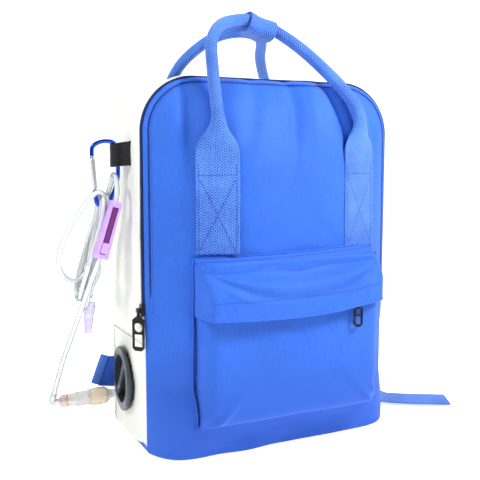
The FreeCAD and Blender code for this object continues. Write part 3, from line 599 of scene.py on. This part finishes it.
def make_zip():
    s = np.linspace(ZIP_FOOT, ARCH - ZIP_FOOT, 400)
    y = np.linspace(SEAM - 0.5 * MM, TAPE_END, 6)
    x, z, _, _ = arch(s[:, None] + 0 * y, 0.8 * MM)
    tape = cloth("zip_tape", np.stack([x, y[None] + 0 * x, z], -1), paints["navy_zip"], 0.9 * MM)
    coil_y = (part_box("main_zip_slider")[0].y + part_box("main_zip_slider")[1].y) / 2
    pitch = 1.3 * MM
    count = int((ARCH - 2 * ZIP_FOOT) / pitch)
    verts, faces = [], []
    ring = [(-1.9, 0.0), (-1.9, 1.2), (-1.0, 2.1), (1.0, 2.1), (1.9, 1.2), (1.9, 0.0)]
    for k in range(count):
        for side in (-0.42, 0.42):
            s0 = ZIP_FOOT + (k + 0.5 + side) * pitch
            for dy, dh in ring:
                grow = 1 if abs(side) < 0.3 else 0.86
                px, pz, _, _ = arch(s0, (0.8 + dh * grow) * MM)
                verts.append((float(px), coil_y + dy * grow * MM, float(pz)))
        base = k * 12
        faces += [(base + j, base + (j + 1) % 6, base + 6 + (j + 1) % 6, base + 6 + j) for j in range(6)]
        faces += [tuple(base + j for j in range(5, -1, -1)), tuple(base + 6 + j for j in range(6))]
    teeth = mesh_object("zip_coil", verts, faces, paints["navy_zip"])
    stand_for(tape, "navy_zip", "main_zip_chain")
    stand_for(teeth, "navy_zip")


def side_puff(s, y):
    """How far the upper white cloth stands out: full and slack low on the sides, taut over the top."""
    z = np.where(s < ARCH / 2, s, ARCH - s)
    depth = (y - TAPE_END) / (BACK_SEAM - TAPE_END)
    across = np.sqrt(np.clip(np.sin(PI * np.clip(0.04 + 0.74 * depth, 0, 1)), 0, 1))
    low = smooth((z - GUSSET_SEAM) / (30 * MM)) * (1 - smooth((z - 205 * MM) / (120 * MM)))
    out = PUFF * low + 1.6 * MM * smooth((z - GUSSET_SEAM) / (12 * MM))
    out += 2.8 * MM * soft_noise(z * 0.7, y * 1.6, 42 * MM, 8) + 1.0 * MM * soft_noise(z, y, 17 * MM, 9)
    return out * across


def make_gusset():
    white = paints["white_fabric"]
    s = np.linspace(GUSSET_SEAM, ARCH - GUSSET_SEAM, 320)
    y = np.linspace(TAPE_END - 0.5 * MM, BACK_SEAM, 34)
    ss, yy = np.meshgrid(s, y, indexing="ij")
    below = smooth((ZIP_FOOT + 2 * MM - np.minimum(ss, ARCH - ss)) / (8 * MM))
    yy = yy - (TAPE_END - SEAM) * below * (BACK_SEAM - yy) / (BACK_SEAM - TAPE_END)
    x, z, _, _ = arch(ss, side_puff(ss, yy))
    upper = cloth("upper_gusset_cloth", np.stack([x, yy, z], -1), white, 2 * MM)
    stand_for(upper, "white_fabric", "top_gusset")
    hem = TAPE_END + 2.2 * MM
    x, z, nx, nz = arch(s, side_puff(s, hem) + 0.1 * MM)
    line, out = np.stack([x, hem + 0 * x, z], 1), np.stack([nx, 0 * nx, nz], 1)
    keep = (s > ZIP_FOOT) & (s < ARCH - ZIP_FOOT)
    stand_for(stitches("gusset_stitches", line[keep], out[keep], white_thread), "white_fabric")

    vent_low, vent_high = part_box("vent_bezel")
    vent = (vent_low + vent_high) / 2

    def outside_vent(centre):
        return centre[0] > 0 or math.hypot(centre[1] - vent.y, centre[2] - vent.z) > VENT_HOLE
    y = np.linspace(SEAM, BACK_SEAM, 34)
    t = np.linspace(0, 1, 40)
    yy, tt = np.meshgrid(y, t, indexing="ij")
    foot = 2 * MM + 7 * MM * smooth((20 * MM - yy) / (60 * MM))
    zz = foot + (GUSSET_SEAM + 1 * MM - foot) * tt
    edge = np.sin(PI * (yy - SEAM) / (BACK_SEAM - SEAM))
    out = (1.6 * MM * soft_noise(yy, zz, 30 * MM, 12) + 0.8 * MM) * edge
    for side, label in SIDES:
        points = np.stack([side * (half_width(zz) + out), yy, zz], -1)
        panel = cloth(label + "_side_cloth", points, white, 2 * MM, flip=side > 0,
                      keep=outside_vent if side < 0 else None)
        stand_for(panel, "white_fabric", label + "_gusset")
        seam_y = np.linspace(SEAM + 4 * MM, BACK_SEAM - 3 * MM, 60)
        seam = np.stack([side * (HALF + 1.0 * MM) + 0 * seam_y, seam_y, GUSSET_SEAM - 3 * MM + 0 * seam_y], 1)
        stand_for(stitches("side_stitches_" + label, seam, (side, 0, 0), drab_thread), "white_fabric")

    s = np.linspace(8 * MM, ARCH - 8 * MM, 300)
    x, z, _, _ = arch(s, 0.3 * MM)
    piping = tube("rear_piping", np.stack([x, BACK_SEAM + 0.4 * MM + 0 * x, z], 1), 1.3 * MM, white, 10)
    stand_for(piping, "white_fabric")


def make_base():
    """The blue base turns up the sides below the white cloth, and runs under the front panel."""
    t = np.linspace(-1, 1, 121)
    v = np.linspace(0, 1, 50)
    tt, vv = np.meshgrid(t, v, indexing="xy")
    flat = HALF - FOOT
    bend = PI / 2 * FOOT
    run = np.abs(tt) * (flat + bend + 7 * MM)
    angle = np.clip((run - flat) / FOOT, 0, PI / 2)
    x = np.sign(tt) * (np.minimum(run, flat) + FOOT * np.sin(angle))
    z = FOOT * (1 - np.cos(angle)) + np.clip(run - flat - bend, 0, None)
    front = np.minimum(front_y(np.clip(x, -HALF + FOOT, HALF - FOOT), 0.0), SEAM) + 1 * MM
    front = np.where(np.abs(x) > HALF - FOOT, SEAM + 0.2 * MM, front)
    y = front + (BACK_SEAM + 2 * MM - front) * vv
    z = z + 0.3 * MM
    base = cloth("base_cloth", np.stack([x, y, z], -1), paints["blue_fabric"], 1.5 * MM, flip=True)
    stand_for(base, "blue_fabric", "base_panel")


def make_back():
    """The padded back, sewn in channels."""
    zz, uu = face_grid(101, 121)
    x = uu * half_width(zz)
    edge = np.clip((1 - np.abs(uu) ** 14), 0, 1) * smooth(zz / (12 * MM)) * smooth((HEIGHT - zz) / (12 * MM))
    pad = 4.5 * MM * edge
    for line in (-48 * MM, 48 * MM):
        pad -= 3.5 * MM * hump(x, line, 4 * MM) * edge
    for line in (80, 160, 240, 320):
        pad -= 2.5 * MM * hump(zz, line * MM, 3.5 * MM) * (np.abs(x) < 50 * MM) * edge
    pad += 0.8 * MM * soft_noise(x, zz, 30 * MM, 31) * edge
    y = REAR - 2.5 * MM + pad
    back = cloth("back_cloth", np.stack([x, y, zz], -1), paints["blue_fabric"], 3 * MM, flip=True)
    stand_for(back, "blue_fabric", "back_panel")


# ---- pocket ----
def pocket_edge(x, z):
    """1 over the pocket's face, falling steeply to 0 at its sides and foot."""
    across = np.clip(1 - np.abs(x / POCKET_HALF) ** 18, 0, 1) ** 0.4
    up = np.clip((z - POCKET_LOW.z) / (POCKET_HIGH.z - POCKET_LOW.z), 0, 1)
    down = np.clip(1 - np.clip(1 - up * 9, 0, 1) ** 3, 0, 1) ** 0.5
    return across * down


def pocket_face(x, z):
    """The pocket's front wall: full in the middle, drawn back to the corners at its foot."""
    side = smooth((np.abs(x) - 92 * MM) / (32 * MM))
    face = POCKET_LOW.y + 5 * MM * side
    face -= 1.5 * MM * hump(z, 100 * MM, 45 * MM) * (1 - side)
    corner = hump(np.abs(x), 104 * MM, 16 * MM) * hump(z, POCKET_LOW.z, 22 * MM)
    face += 2.5 * MM * corner * (1 + np.sin((np.abs(x) + z) / (3.2 * MM)))
    diagonal = np.abs(x) + 0.9 * (z - POCKET_LOW.z) - 100 * MM
    face -= 3.4 * MM * hump(diagonal, 0, 7 * MM) * smooth((100 * MM - z) / (60 * MM))
    face += 2.0 * MM * soft_noise(x, z * 0.8, 55 * MM, 15) + 0.7 * MM * soft_noise(x, z, 22 * MM, 16)
    return face


def make_pocket():
    blue = paints["blue_fabric"]
    u = np.sin(np.linspace(-1, 1, 141) * PI / 2)
    t = np.linspace(0, 1, 111) ** 1.5
    zz, uu = np.meshgrid(POCKET_LOW.z + (POCKET_HIGH.z - 6 * MM - POCKET_LOW.z) * t, u, indexing="ij")
    x = uu * POCKET_HALF
    bag, _ = on_front(x, zz, 0.4 * MM)
    y = bag[..., 1] + (pocket_face(x, zz) - bag[..., 1]) * pocket_edge(x, zz)
    pocket = cloth("pocket_cloth", np.stack([x, y, zz], -1), blue, 1.4 * MM)
    stand_for(pocket, "blue_fabric", "front_pocket")

    # the seam's edge stands up along the pocket's sides
    for side, label in SIDES:
        z = np.linspace(POCKET_LOW.z - 3 * MM, float(flap_top(side * POCKET_HALF)), 90)
        x = side * (POCKET_HALF + 1.5 * MM + 0.8 * MM * soft_noise(z, 0, 30 * MM, 18))
        root, out = on_front(x, z)
        tall = np.linspace(-0.5 * MM, (5.5 if side < 0 else 2.5) * MM, 5)
        points = root[:, None] + out[:, None] * tall[None, :, None]
        points[..., 0] += side * 0.12 * tall
        ridge = cloth("pocket_seam_" + label, points, blue, 1.3 * MM, flip=side > 0)
        stand_for(ridge, "blue_fabric")
    coil_low, coil_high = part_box("pocket_zip_coil")
    z = (coil_low.z + coil_high.z) / 2
    xs = np.linspace(coil_low.x, coil_high.x, 160)
    ribs = 0.25 * MM * np.abs(np.sin(xs / (0.8 * MM)))
    coil = tube("pocket_coil", np.stack([xs, 0 * xs + coil_high.y - 0.4 * MM, 0 * xs + z], 1),
                1.6 * MM + ribs, paints["navy_zip"], 8)
    stand_for(coil, "navy_zip", "pocket_zip_coil")


def flap_top(x):
    """The flap's top seam is sewn a little higher on the right."""
    return FLAP_HIGH.z - 1.8 * MM + 0.03 * x


def flap_points(x, t):
    """The flap from its top seam (t = 0) to its lower edge (t = 1), with swags between its corners."""
    half = POCKET_HALF + 2 * MM
    top = flap_top(x)
    low = FLAP_LOW.z - 2.8 * MM * hump(x, -10 * MM, 60 * MM) + 5.5 * MM * smooth((x - 25 * MM) / (75 * MM))
    z = top + (low - top) * t
    root = on_front(x, top)[0][..., 1]
    lip = FLAP_LOW.y + 1.6 * MM + 4 * MM * smooth((-x - 96 * MM) / (28 * MM))
    lip += 9 * MM * smooth((x - 78 * MM) / (46 * MM))
    bend = 1 - (1 - np.clip(t / 0.62, 0, 1)) ** 1.8
    lip -= (1.9 + 1.2 * smooth(-x / (50 * MM))) * MM * (1 - smooth((np.abs(x) - PULL_X - 7 * MM) / (16 * MM)))
    y = root + (lip - root) * (0.06 + 0.94 * bend)
    sag = (top - z) / (14 * MM + 42 * MM * np.clip(1 - (x / half) ** 2, 0, 1))
    swag = (4.4 * hump(sag, 0.34, 0.13) - 3.6 * hump(sag, 0.58, 0.12) + 3.0 * hump(sag, 0.80, 0.12)
            - 2.0 * hump(sag, 1.0, 0.10)) * MM
    y += swag * smooth(t / 0.15) * (1 - smooth((t - 0.62) / 0.2)) * (1 - (np.abs(x) / half) ** 4)
    y += 0.8 * MM * soft_noise(x, z, 40 * MM, 25) * smooth(t / 0.2)
    bag = on_front(x, z, 0.6 * MM)[0][..., 1]
    wrap = np.clip(1 - np.abs(x / half) ** 34, 0, 1) ** 0.4
    y = bag + (np.minimum(y, bag) - bag) * wrap
    return np.stack([x, y, z], -1)


def make_flap():
    blue = paints["blue_fabric"]
    u = np.sin(np.linspace(-1, 1, 161) * PI / 2)
    tt, uu = np.meshgrid(np.linspace(1, 0, 61), u, indexing="ij")
    x = uu * (POCKET_HALF + 2 * MM)
    points = flap_points(x, tt)
    flap = cloth("flap_cloth", points, blue, 1.3 * MM)
    stand_for(flap, "blue_fabric", "pocket_flap")

    xs = np.linspace(-0.965, 0.965, 200) * POCKET_HALF
    edge = flap_points(xs, np.full_like(xs, 1.0))
    lip = tube("flap_fold", edge + np.array([0, 0.5, 0.3]) * MM, 1.1 * MM, blue, 10)
    stand_for(lip, "blue_fabric")
    t_hem = 0.69
    row = flap_points(xs, np.full_like(xs, t_hem))
    above = flap_points(xs, np.full_like(xs, t_hem - 0.02))
    out = unit(np.cross(np.gradient(row, axis=0), above - row))
    out *= -np.sign(out[:, 1:2])
    stand_for(stitches("flap_hem_stitches", row + out * 0.1 * MM, out, thread), "blue_fabric")
    row = flap_points(xs, np.full_like(xs, 0.05)) + np.array([0, -0.15, 0.1]) * MM
    stand_for(stitches("flap_top_stitches", row, (0, -0.7, 0.7), thread), "blue_fabric")
    xs = np.linspace(-1.0, 1.0, 160) * (POCKET_HALF + 2 * MM)
    top, out = on_front(xs, flap_top(xs) + 0.5 * MM, 1.0 * MM)
    fold = tube("flap_top_fold", top, 1.0 * MM, blue, 10)
    stand_for(fold, "blue_fabric")


# ---- webbing and handles ----
def rolled_strap(name, line, normals, roll, paint, wide=WEB_WIDE):
    """Webbing along a line. roll is 0 where it lies flat and 1 where it is rolled into a tube."""
    tangents, outward = normals
    across = np.cross(tangents, outward)
    wide = (wide * (1 - 0.13 * roll))[:, None]
    r = wide / (0.03 + roll * (2 * PI * 0.985 - 0.03))[:, None]
    a = np.linspace(-0.5, 0.5, 31) * wide / r
    depth = r * (1 - np.cos(a))
    squash = np.minimum(1, 2 * HANDLE_R * roll[:, None] / np.maximum(depth.max(1, keepdims=True), 1e-6))
    height = (roll * HANDLE_R)[:, None] - depth * squash
    points = (line[:, None] + across[:, None] * (r * np.sin(a))[..., None]
              + outward[:, None] * height[..., None])
    return cloth(name, points, paint, WEB_THICK)


FRONT_HANDLE = [(-87, -88, 352), (-85.5, -79, 373), (-82, -64, 402), (-76, -47, 434), (-61, -34, 454),
                (-38, -25, 463), (-14, -20, 465), (11, -20, 457), (36, -34, 438), (57, -53, 413),
                (73, -71, 388), (84, -85, 360)]
REAR_HANDLE = [(-78, 86, 346), (-77, 93, 372), (-73, 87, 400), (-63, 64, 428), (-43, 27, 450),
               (-20, 4, 456), (4, 0, 452), (16, 18, 446), (27, 42, 436), (43, 68, 424), (60, 88, 406),
               (74, 96, 384), (78, 88, 350)]


def make_handles():
    paint = paints["blue_webbing"]
    zs = [WEB_FOOT, 250 * MM, 285 * MM, 318 * MM]
    left, right = [on_front(np.full(4, side * WEB_ROOT), np.array(zs), 2.0 * MM)[0] for side, _ in SIDES]
    route = list(left) + [np.array(p) * MM for p in FRONT_HANDLE] + list(right[::-1])
    line = curve_through(route, 420)
    far = run_along(line)
    start = np.interp(ROLL_HEIGHT, line[:120, 2], far[:120])
    stop = far[-1] - np.interp(ROLL_HEIGHT, line[::-1][:120, 2], far[:120])
    ramp = 52 * MM
    roll = smooth((far - start) / ramp) * smooth((stop - far) / ramp)
    lean = math.sin(WEB_LEAN), math.cos(WEB_LEAN)
    normals = frames_along(line, (-lean[0], -lean[1], 0), (0.6 * lean[0], -lean[1], 0))
    fuller = WEB_WIDE * (1 + 0.24 * roll * smooth((line[:, 0] - 5 * MM) / (40 * MM)))
    front = rolled_strap("front_handle_webbing", line, normals, roll, paint, fuller)
    stand_for(front, "blue_webbing", "front_handle", "front_webbing")
    tangents, outward = normals
    across = np.cross(tangents, outward)
    for (side, label), keep in zip(SIDES, (far < start - 4 * MM, far > stop + 4 * MM)):
        for k, edge in enumerate((-0.43, 0.43)):
            row = line[keep] + across[keep] * edge * WEB_WIDE + outward[keep] * 0.1 * MM
            rows = stitches("webbing_stitches_%s_%d" % (label, k), row, outward[keep], thread)
            stand_for(rows, "blue_webbing")
        place = np.argmin(np.abs(line[:, 2] - BAR_HEIGHT) + (side * line[:, 0] < 0))
        p = np.linspace(-0.43, 0.43, 20)[:, None] * WEB_WIDE
        row = line[place] + across[place] * p + outward[place] * 0.1 * MM
        stand_for(stitches("webbing_bar_" + label, row, outward[place], thread), "blue_webbing")

        box = keep & (line[:, 2] > WEB_FOOT + 4 * MM) & (line[:, 2] < BOX_HEIGHT)
        for way, lean_to in (("up", 1), ("down", -1)):
            p = lean_to * np.linspace(-0.4, 0.4, box.sum())[:, None] * WEB_WIDE
            row = line[box] + across[box] * p + outward[box] * 0.1 * MM
            cross = stitches("webbing_cross_%s_%s" % (label, way), row, outward[box], thread)
            stand_for(cross, "blue_webbing")

    foot = 332 * MM
    back_y = REAR + 3 * MM
    ends = [[(side * 78 * MM, back_y, z) for z in (foot - 12 * MM, foot)] for side, _ in SIDES]
    route = ends[0] + [tuple(c * MM for c in p) for p in REAR_HANDLE] + ends[1][::-1]
    line = curve_through(route, 380)
    far = run_along(line)
    ramp = 36 * MM
    roll = smooth((far - 14 * MM) / ramp) * smooth((far[-1] - 14 * MM - far) / ramp)
    normals = frames_along(line, (0, 1, 0), (0, 1, 0))
    rear = rolled_strap("rear_handle_webbing", line, normals, roll, paint)
    stand_for(rear, "blue_webbing", "rear_handle", "rear_webbing")


def make_wrap():
    """The sleeve that holds both handles together. It leans down to the right, as they do."""
    low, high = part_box("handle_wrap")
    t = np.linspace(0, 1, 25)
    x = low.x + 1 * MM + (high.x - low.x - 2 * MM) * t
    middle_y = (low.y + high.y) / 2
    z = (464 + (454.5 - 464) * t) * MM
    a = np.linspace(0, 2 * PI, 64, endpoint=False)
    flat, tall = (high.y - low.y) / 2 - 0.3 * MM, 9.6 * MM
    cy, cz = squarer(np.cos(a), 0.72) * flat, squarer(np.sin(a), 0.72) * tall
    waist = 1 + 0.05 * np.cos(2 * PI * t)
    pinch = 1 - 0.10 * hump(cy, 0, 6 * MM)
    points = np.stack([x[:, None] + 0.28 * cz[None] + 0 * cy, middle_y + cy[None] * waist[:, None],
                       z[:, None] + cz[None] * pinch[None] * waist[:, None]], -1)
    points[..., 2] += 0.5 * MM * soft_noise(points[..., 0], points[..., 1], 10 * MM, 41)
    wrap = cloth("wrap_cloth", points, paints["blue_webbing"], 1.6 * MM, closed=True, flip=True)
    stand_for(wrap, "blue_webbing", "handle_wrap")


def flat_strap(name, route, normal, wide):
    """Flat webbing through points in mm, slightly domed across."""
    line = curve_through(np.array(route, float) * MM, 120)
    tangents = unit(np.gradient(line, axis=0))
    normal = np.broadcast_to(np.asarray(normal, float), line.shape)
    normal = unit(normal - tangents * (normal * tangents).sum(1, keepdims=True))
    across = np.cross(tangents, normal)
    p = np.linspace(-0.5, 0.5, 13) * wide
    dome = (0.25 * MM * (1 - (2 * p / wide) ** 2))[None, :, None] * normal[:, None]
    points = line[:, None] + across[:, None] * p[None, :, None] + dome
    return cloth(name, points, paints["blue_webbing"], STRAP_THICK, flip=True)


def make_straps():
    """Padded shoulder straps, their lower webbing, the corner tabs, and the loose end on the floor."""
    for side, label in SIDES:
        line = curve_through([(side * 68 * MM, y * MM, z * MM) for y, z in
                              ((79, 322), (92, 302), (106, 270), (112.5, 238), (109.5, 195), (95, 143))], 90)
        tangents = unit(np.gradient(line, axis=0))
        across = np.array([1.0, 0, 0])
        out = unit(np.cross(across, tangents))
        out *= np.sign(out[:, 1:2] + 1e-9)
        a = np.linspace(0, 2 * PI, 56, endpoint=False)
        t = np.linspace(0, 1, len(line))
        wide = (30 - 7 * smooth((t - 0.6) / 0.4)) * MM
        deep = (5.0 - 1.5 * hump(t, 1, 0.08) - 2.0 * hump(t, 0, 0.06)) * MM
        ca, sa = squarer(np.cos(a), 0.75), squarer(np.sin(a), 0.8)
        channel = 1 - 0.35 * hump(ca, 0.72, 0.08) - 0.35 * hump(ca, -0.72, 0.08)
        points = (line[:, None] + across * (wide[:, None] * ca)[..., None]
                  + out[:, None] * (deep[:, None] * sa * channel)[..., None])
        pad = cloth("shoulder_pad_" + label, points, paints["blue_fabric"], 0, closed=True, flip=True,
                    caps=True)
        stand_for(pad, "blue_fabric", *(["shoulder_straps"] if side < 0 else []))
        lower = flat_strap("lower_strap_" + label, [(side * x, y, z) for x, y, z in
                           ((154, 85, 54), (138, 88, 68), (114, 91, 92), (90, 92.5, 109), (72, 94, 122))],
                           (0, 1, 0.1), 25 * MM)
        stand_for(lower, "blue_webbing", *(["lower_straps"] if side < 0 else []))
        make_tab(side, label)
    tail = flat_strap("tail_webbing", [(176, 112, 2.6), (178, 75, 2.4), (181, 35, 2.4), (184, 8, 2.6),
                                       (194, -8, 3.4), (215, -22, 3.0), (238, -34, 2.6), (257, -44, 2.4)],
                      (0, 0, 1), 38 * MM)
    stand_for(tail, "blue_webbing", "strap_tail")


def make_tab(side, label):
    """A cloth tab in the side seam, with the strap's webbing folded round its outer edge."""
    s, t = np.meshgrid(np.linspace(0, 1, 20), np.linspace(0, 1, 20), indexing="ij")
    top = np.array([-139, 78.5, 79.5]), np.array([-160, 80.5, 79.0])
    low = np.array([-139, 78.5, 40.0]), np.array([-169, 81.5, 44.5])
    upper = top[0] + (top[1] - top[0]) * s[..., None]
    lower = low[0] + (low[1] - low[0]) * s[..., None]
    points = (upper + (lower - upper) * t[..., None]) * MM
    points[..., 1] += 1.2 * MM * soft_noise(s * 30 * MM, t * 40 * MM, 12 * MM, 51)
    points[..., 0] *= -side
    tab = cloth("tab_cloth_" + label, points, paints["blue_fabric"], 1.6 * MM, flip=side < 0)
    stand_for(tab, "blue_fabric", *(["strap_tabs"] if side < 0 else []))
    a = np.linspace(-0.62 * PI, 0.62 * PI, 15)
    along = np.linspace(0, 1, 24)
    head, toe = np.array([-158.5, 81, 80.5]), np.array([-171, 82, 47])
    axis = unit(toe - head)
    outward = unit(np.cross(axis, np.array([0, 1.0, 0])))
    outward *= np.sign(-outward[0])
    middle = head + (toe - head) * along[:, None]
    section = outward * (np.cos(a)[:, None] * 7.0) + np.array([0, 1.0, 0]) * (np.sin(a)[:, None] * 2.6)
    points = (middle[:, None] + section[None]) * MM
    points[..., 0] *= -side
    band = cloth("tab_webbing_" + label, points, paints["blue_webbing"], 1.3 * MM, flip=side > 0)
    stand_for(band, "blue_webbing")


def make_hang_loop():
    """Black webbing sewn in the side, round the carabiner's spine."""
    low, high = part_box("carabiner_loop")
    hook_low, hook_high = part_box("carabiner_pin")
    y, root = (hook_low.y + hook_high.y) / 2, low.y + 2.4 * MM
    r = 4.6 * MM
    end = low.x + 1.3 * MM + r
    a = np.linspace(-PI / 2, -3 * PI / 2, 22)
    sewn, waist = high.x + 1.5 * MM, high.x - 4 * MM
    plan = [(sewn, root - 1.4 * MM), (waist, root), (end + 6 * MM, y - 4.0 * MM)]
    plan += [(end + r * math.cos(t), y + r * math.sin(t)) for t in a]
    plan += [(end + 6 * MM, y + 2.6 * MM), (waist, root + 3 * MM), (sewn, root + 1.4 * MM)]
    rows = curve_through([(px, py, 0) for px, py in plan], 90)
    points = np.repeat(rows[None], 14, 0)
    at_root = np.linspace(low.z + 1.5 * MM, high.z + 3.5 * MM, 14)[:, None]
    at_tip = np.linspace(low.z - 0.5 * MM, high.z - 0.5 * MM, 14)[:, None]
    points[..., 2] = at_root + (at_tip - at_root) * (high.x - rows[:, 0]) / (high.x - low.x)
    loop = cloth("hang_loop_webbing", points, paints["black_webbing"], 1.2 * MM)
    stand_for(loop, "black_webbing", "carabiner_loop")


def make_gate_tip():
    """The gate's rounded end, which meets the hook's nose."""
    low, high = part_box("carabiner_gate")
    y = (low.y + high.y) / 2
    line = [(low.x + (2.7 - 0.1 * k) * MM, y, high.z + (k - 1.6) * MM) for k in (0, 1, 2, 2.6)]
    tip = tube("gate_tip", line, np.array([2.7, 2.7, 2.6, 2.0]) * MM, paints["steel"], 16)
    stand_for(tip, "steel", body="gate")


def make_clamp_window():
    """The dark floor of the clamp's window, along the tube."""
    low, high = np.array(FEED[5], float) * MM, np.array(FEED[6], float) * MM
    axis = unit(high - low)
    side, out = np.array([axis[2], 0, -axis[0]]), np.array([0, -1.0, 0])
    along = np.linspace(5.4 * MM, np.linalg.norm(high - low) - 6.4 * MM, 24)
    across = np.linspace(-3.2, 3.2, 7) * MM
    points = low + axis * along[:, None, None] + side * across[None, :, None] + out * 3.9 * MM
    points += out * (0.5 * MM * (1 - (across / (3.2 * MM)) ** 2))[None, :, None]
    floor = cloth("clamp_window", points, paints["window_plastic"], 0.4 * MM, flip=True)
    stand_for(floor, "dark_plastic")


# ---- stage ----
def make_stage():
    """A bright sheet under and behind the bag, and three soft lights."""
    sweep = np.linspace(0, PI / 2, 12)
    profile = [(-5.0, 0.0)] + [(1.6 + math.sin(a), 1 - math.cos(a)) for a in sweep] + [(2.6, 6.0)]
    rows = np.array([[(x, y, z) for x in (-6.0, 6.0)] for y, z in profile])
    paper = plastic("paper", (0.93, 0.93, 0.93), 0.9, 0.0, 0.01)
    glow = paper.node_tree.nodes["Principled BSDF"].inputs
    glow["Emission Color"].default_value = rgb(1.0, 1.0, 1.0)
    glow["Emission Strength"].default_value = 0.62
    cloth("paper_sweep", rows, paper, 0)
    world = bpy.context.scene.world or bpy.data.worlds.new("world")
    bpy.context.scene.world = world
    world.use_nodes = True
    sky = world.node_tree.nodes["Background"]
    sky.inputs["Color"].default_value = rgb(1.0, 1.0, 1.0)
    sky.inputs["Strength"].default_value = 0.27
    for name, place, energy, width in (("key", (0.52, -0.62, 0.88), 12.5, 0.25),
                                       ("back", (0.2, 1.3, 1.6), 8, 1.0),
                                       ("side", (-1.3, -0.4, 1.5), 18, 0.4)):
        light = bpy.data.lights.new(name, "AREA")
        light.energy, light.size = energy, width
        lamp = placed(name, light)
        lamp.location = place
        aim = Vector((0, 0, HEIGHT / 2)) - lamp.location
        lamp.rotation_euler = aim.to_track_quat("-Z", "Y").to_euler()
    bpy.context.scene.view_settings.view_transform = "Standard"


for make in (make_tube, make_front, make_zip, make_gusset, make_base, make_back, make_pocket, make_flap,
             make_handles, make_wrap, make_straps, make_hang_loop, make_gate_tip, make_clamp_window):
    make()
for node in ("main_zip_slider", "main_zip_pull", "pocket_zip_slider", "pocket_zip_pull"):
    rounded(node, 0.35 * MM)
for node in ("strap_buckles", "control_panel", "clamp_slider"):
    rounded(node, 0.6 * MM)
make_stage()
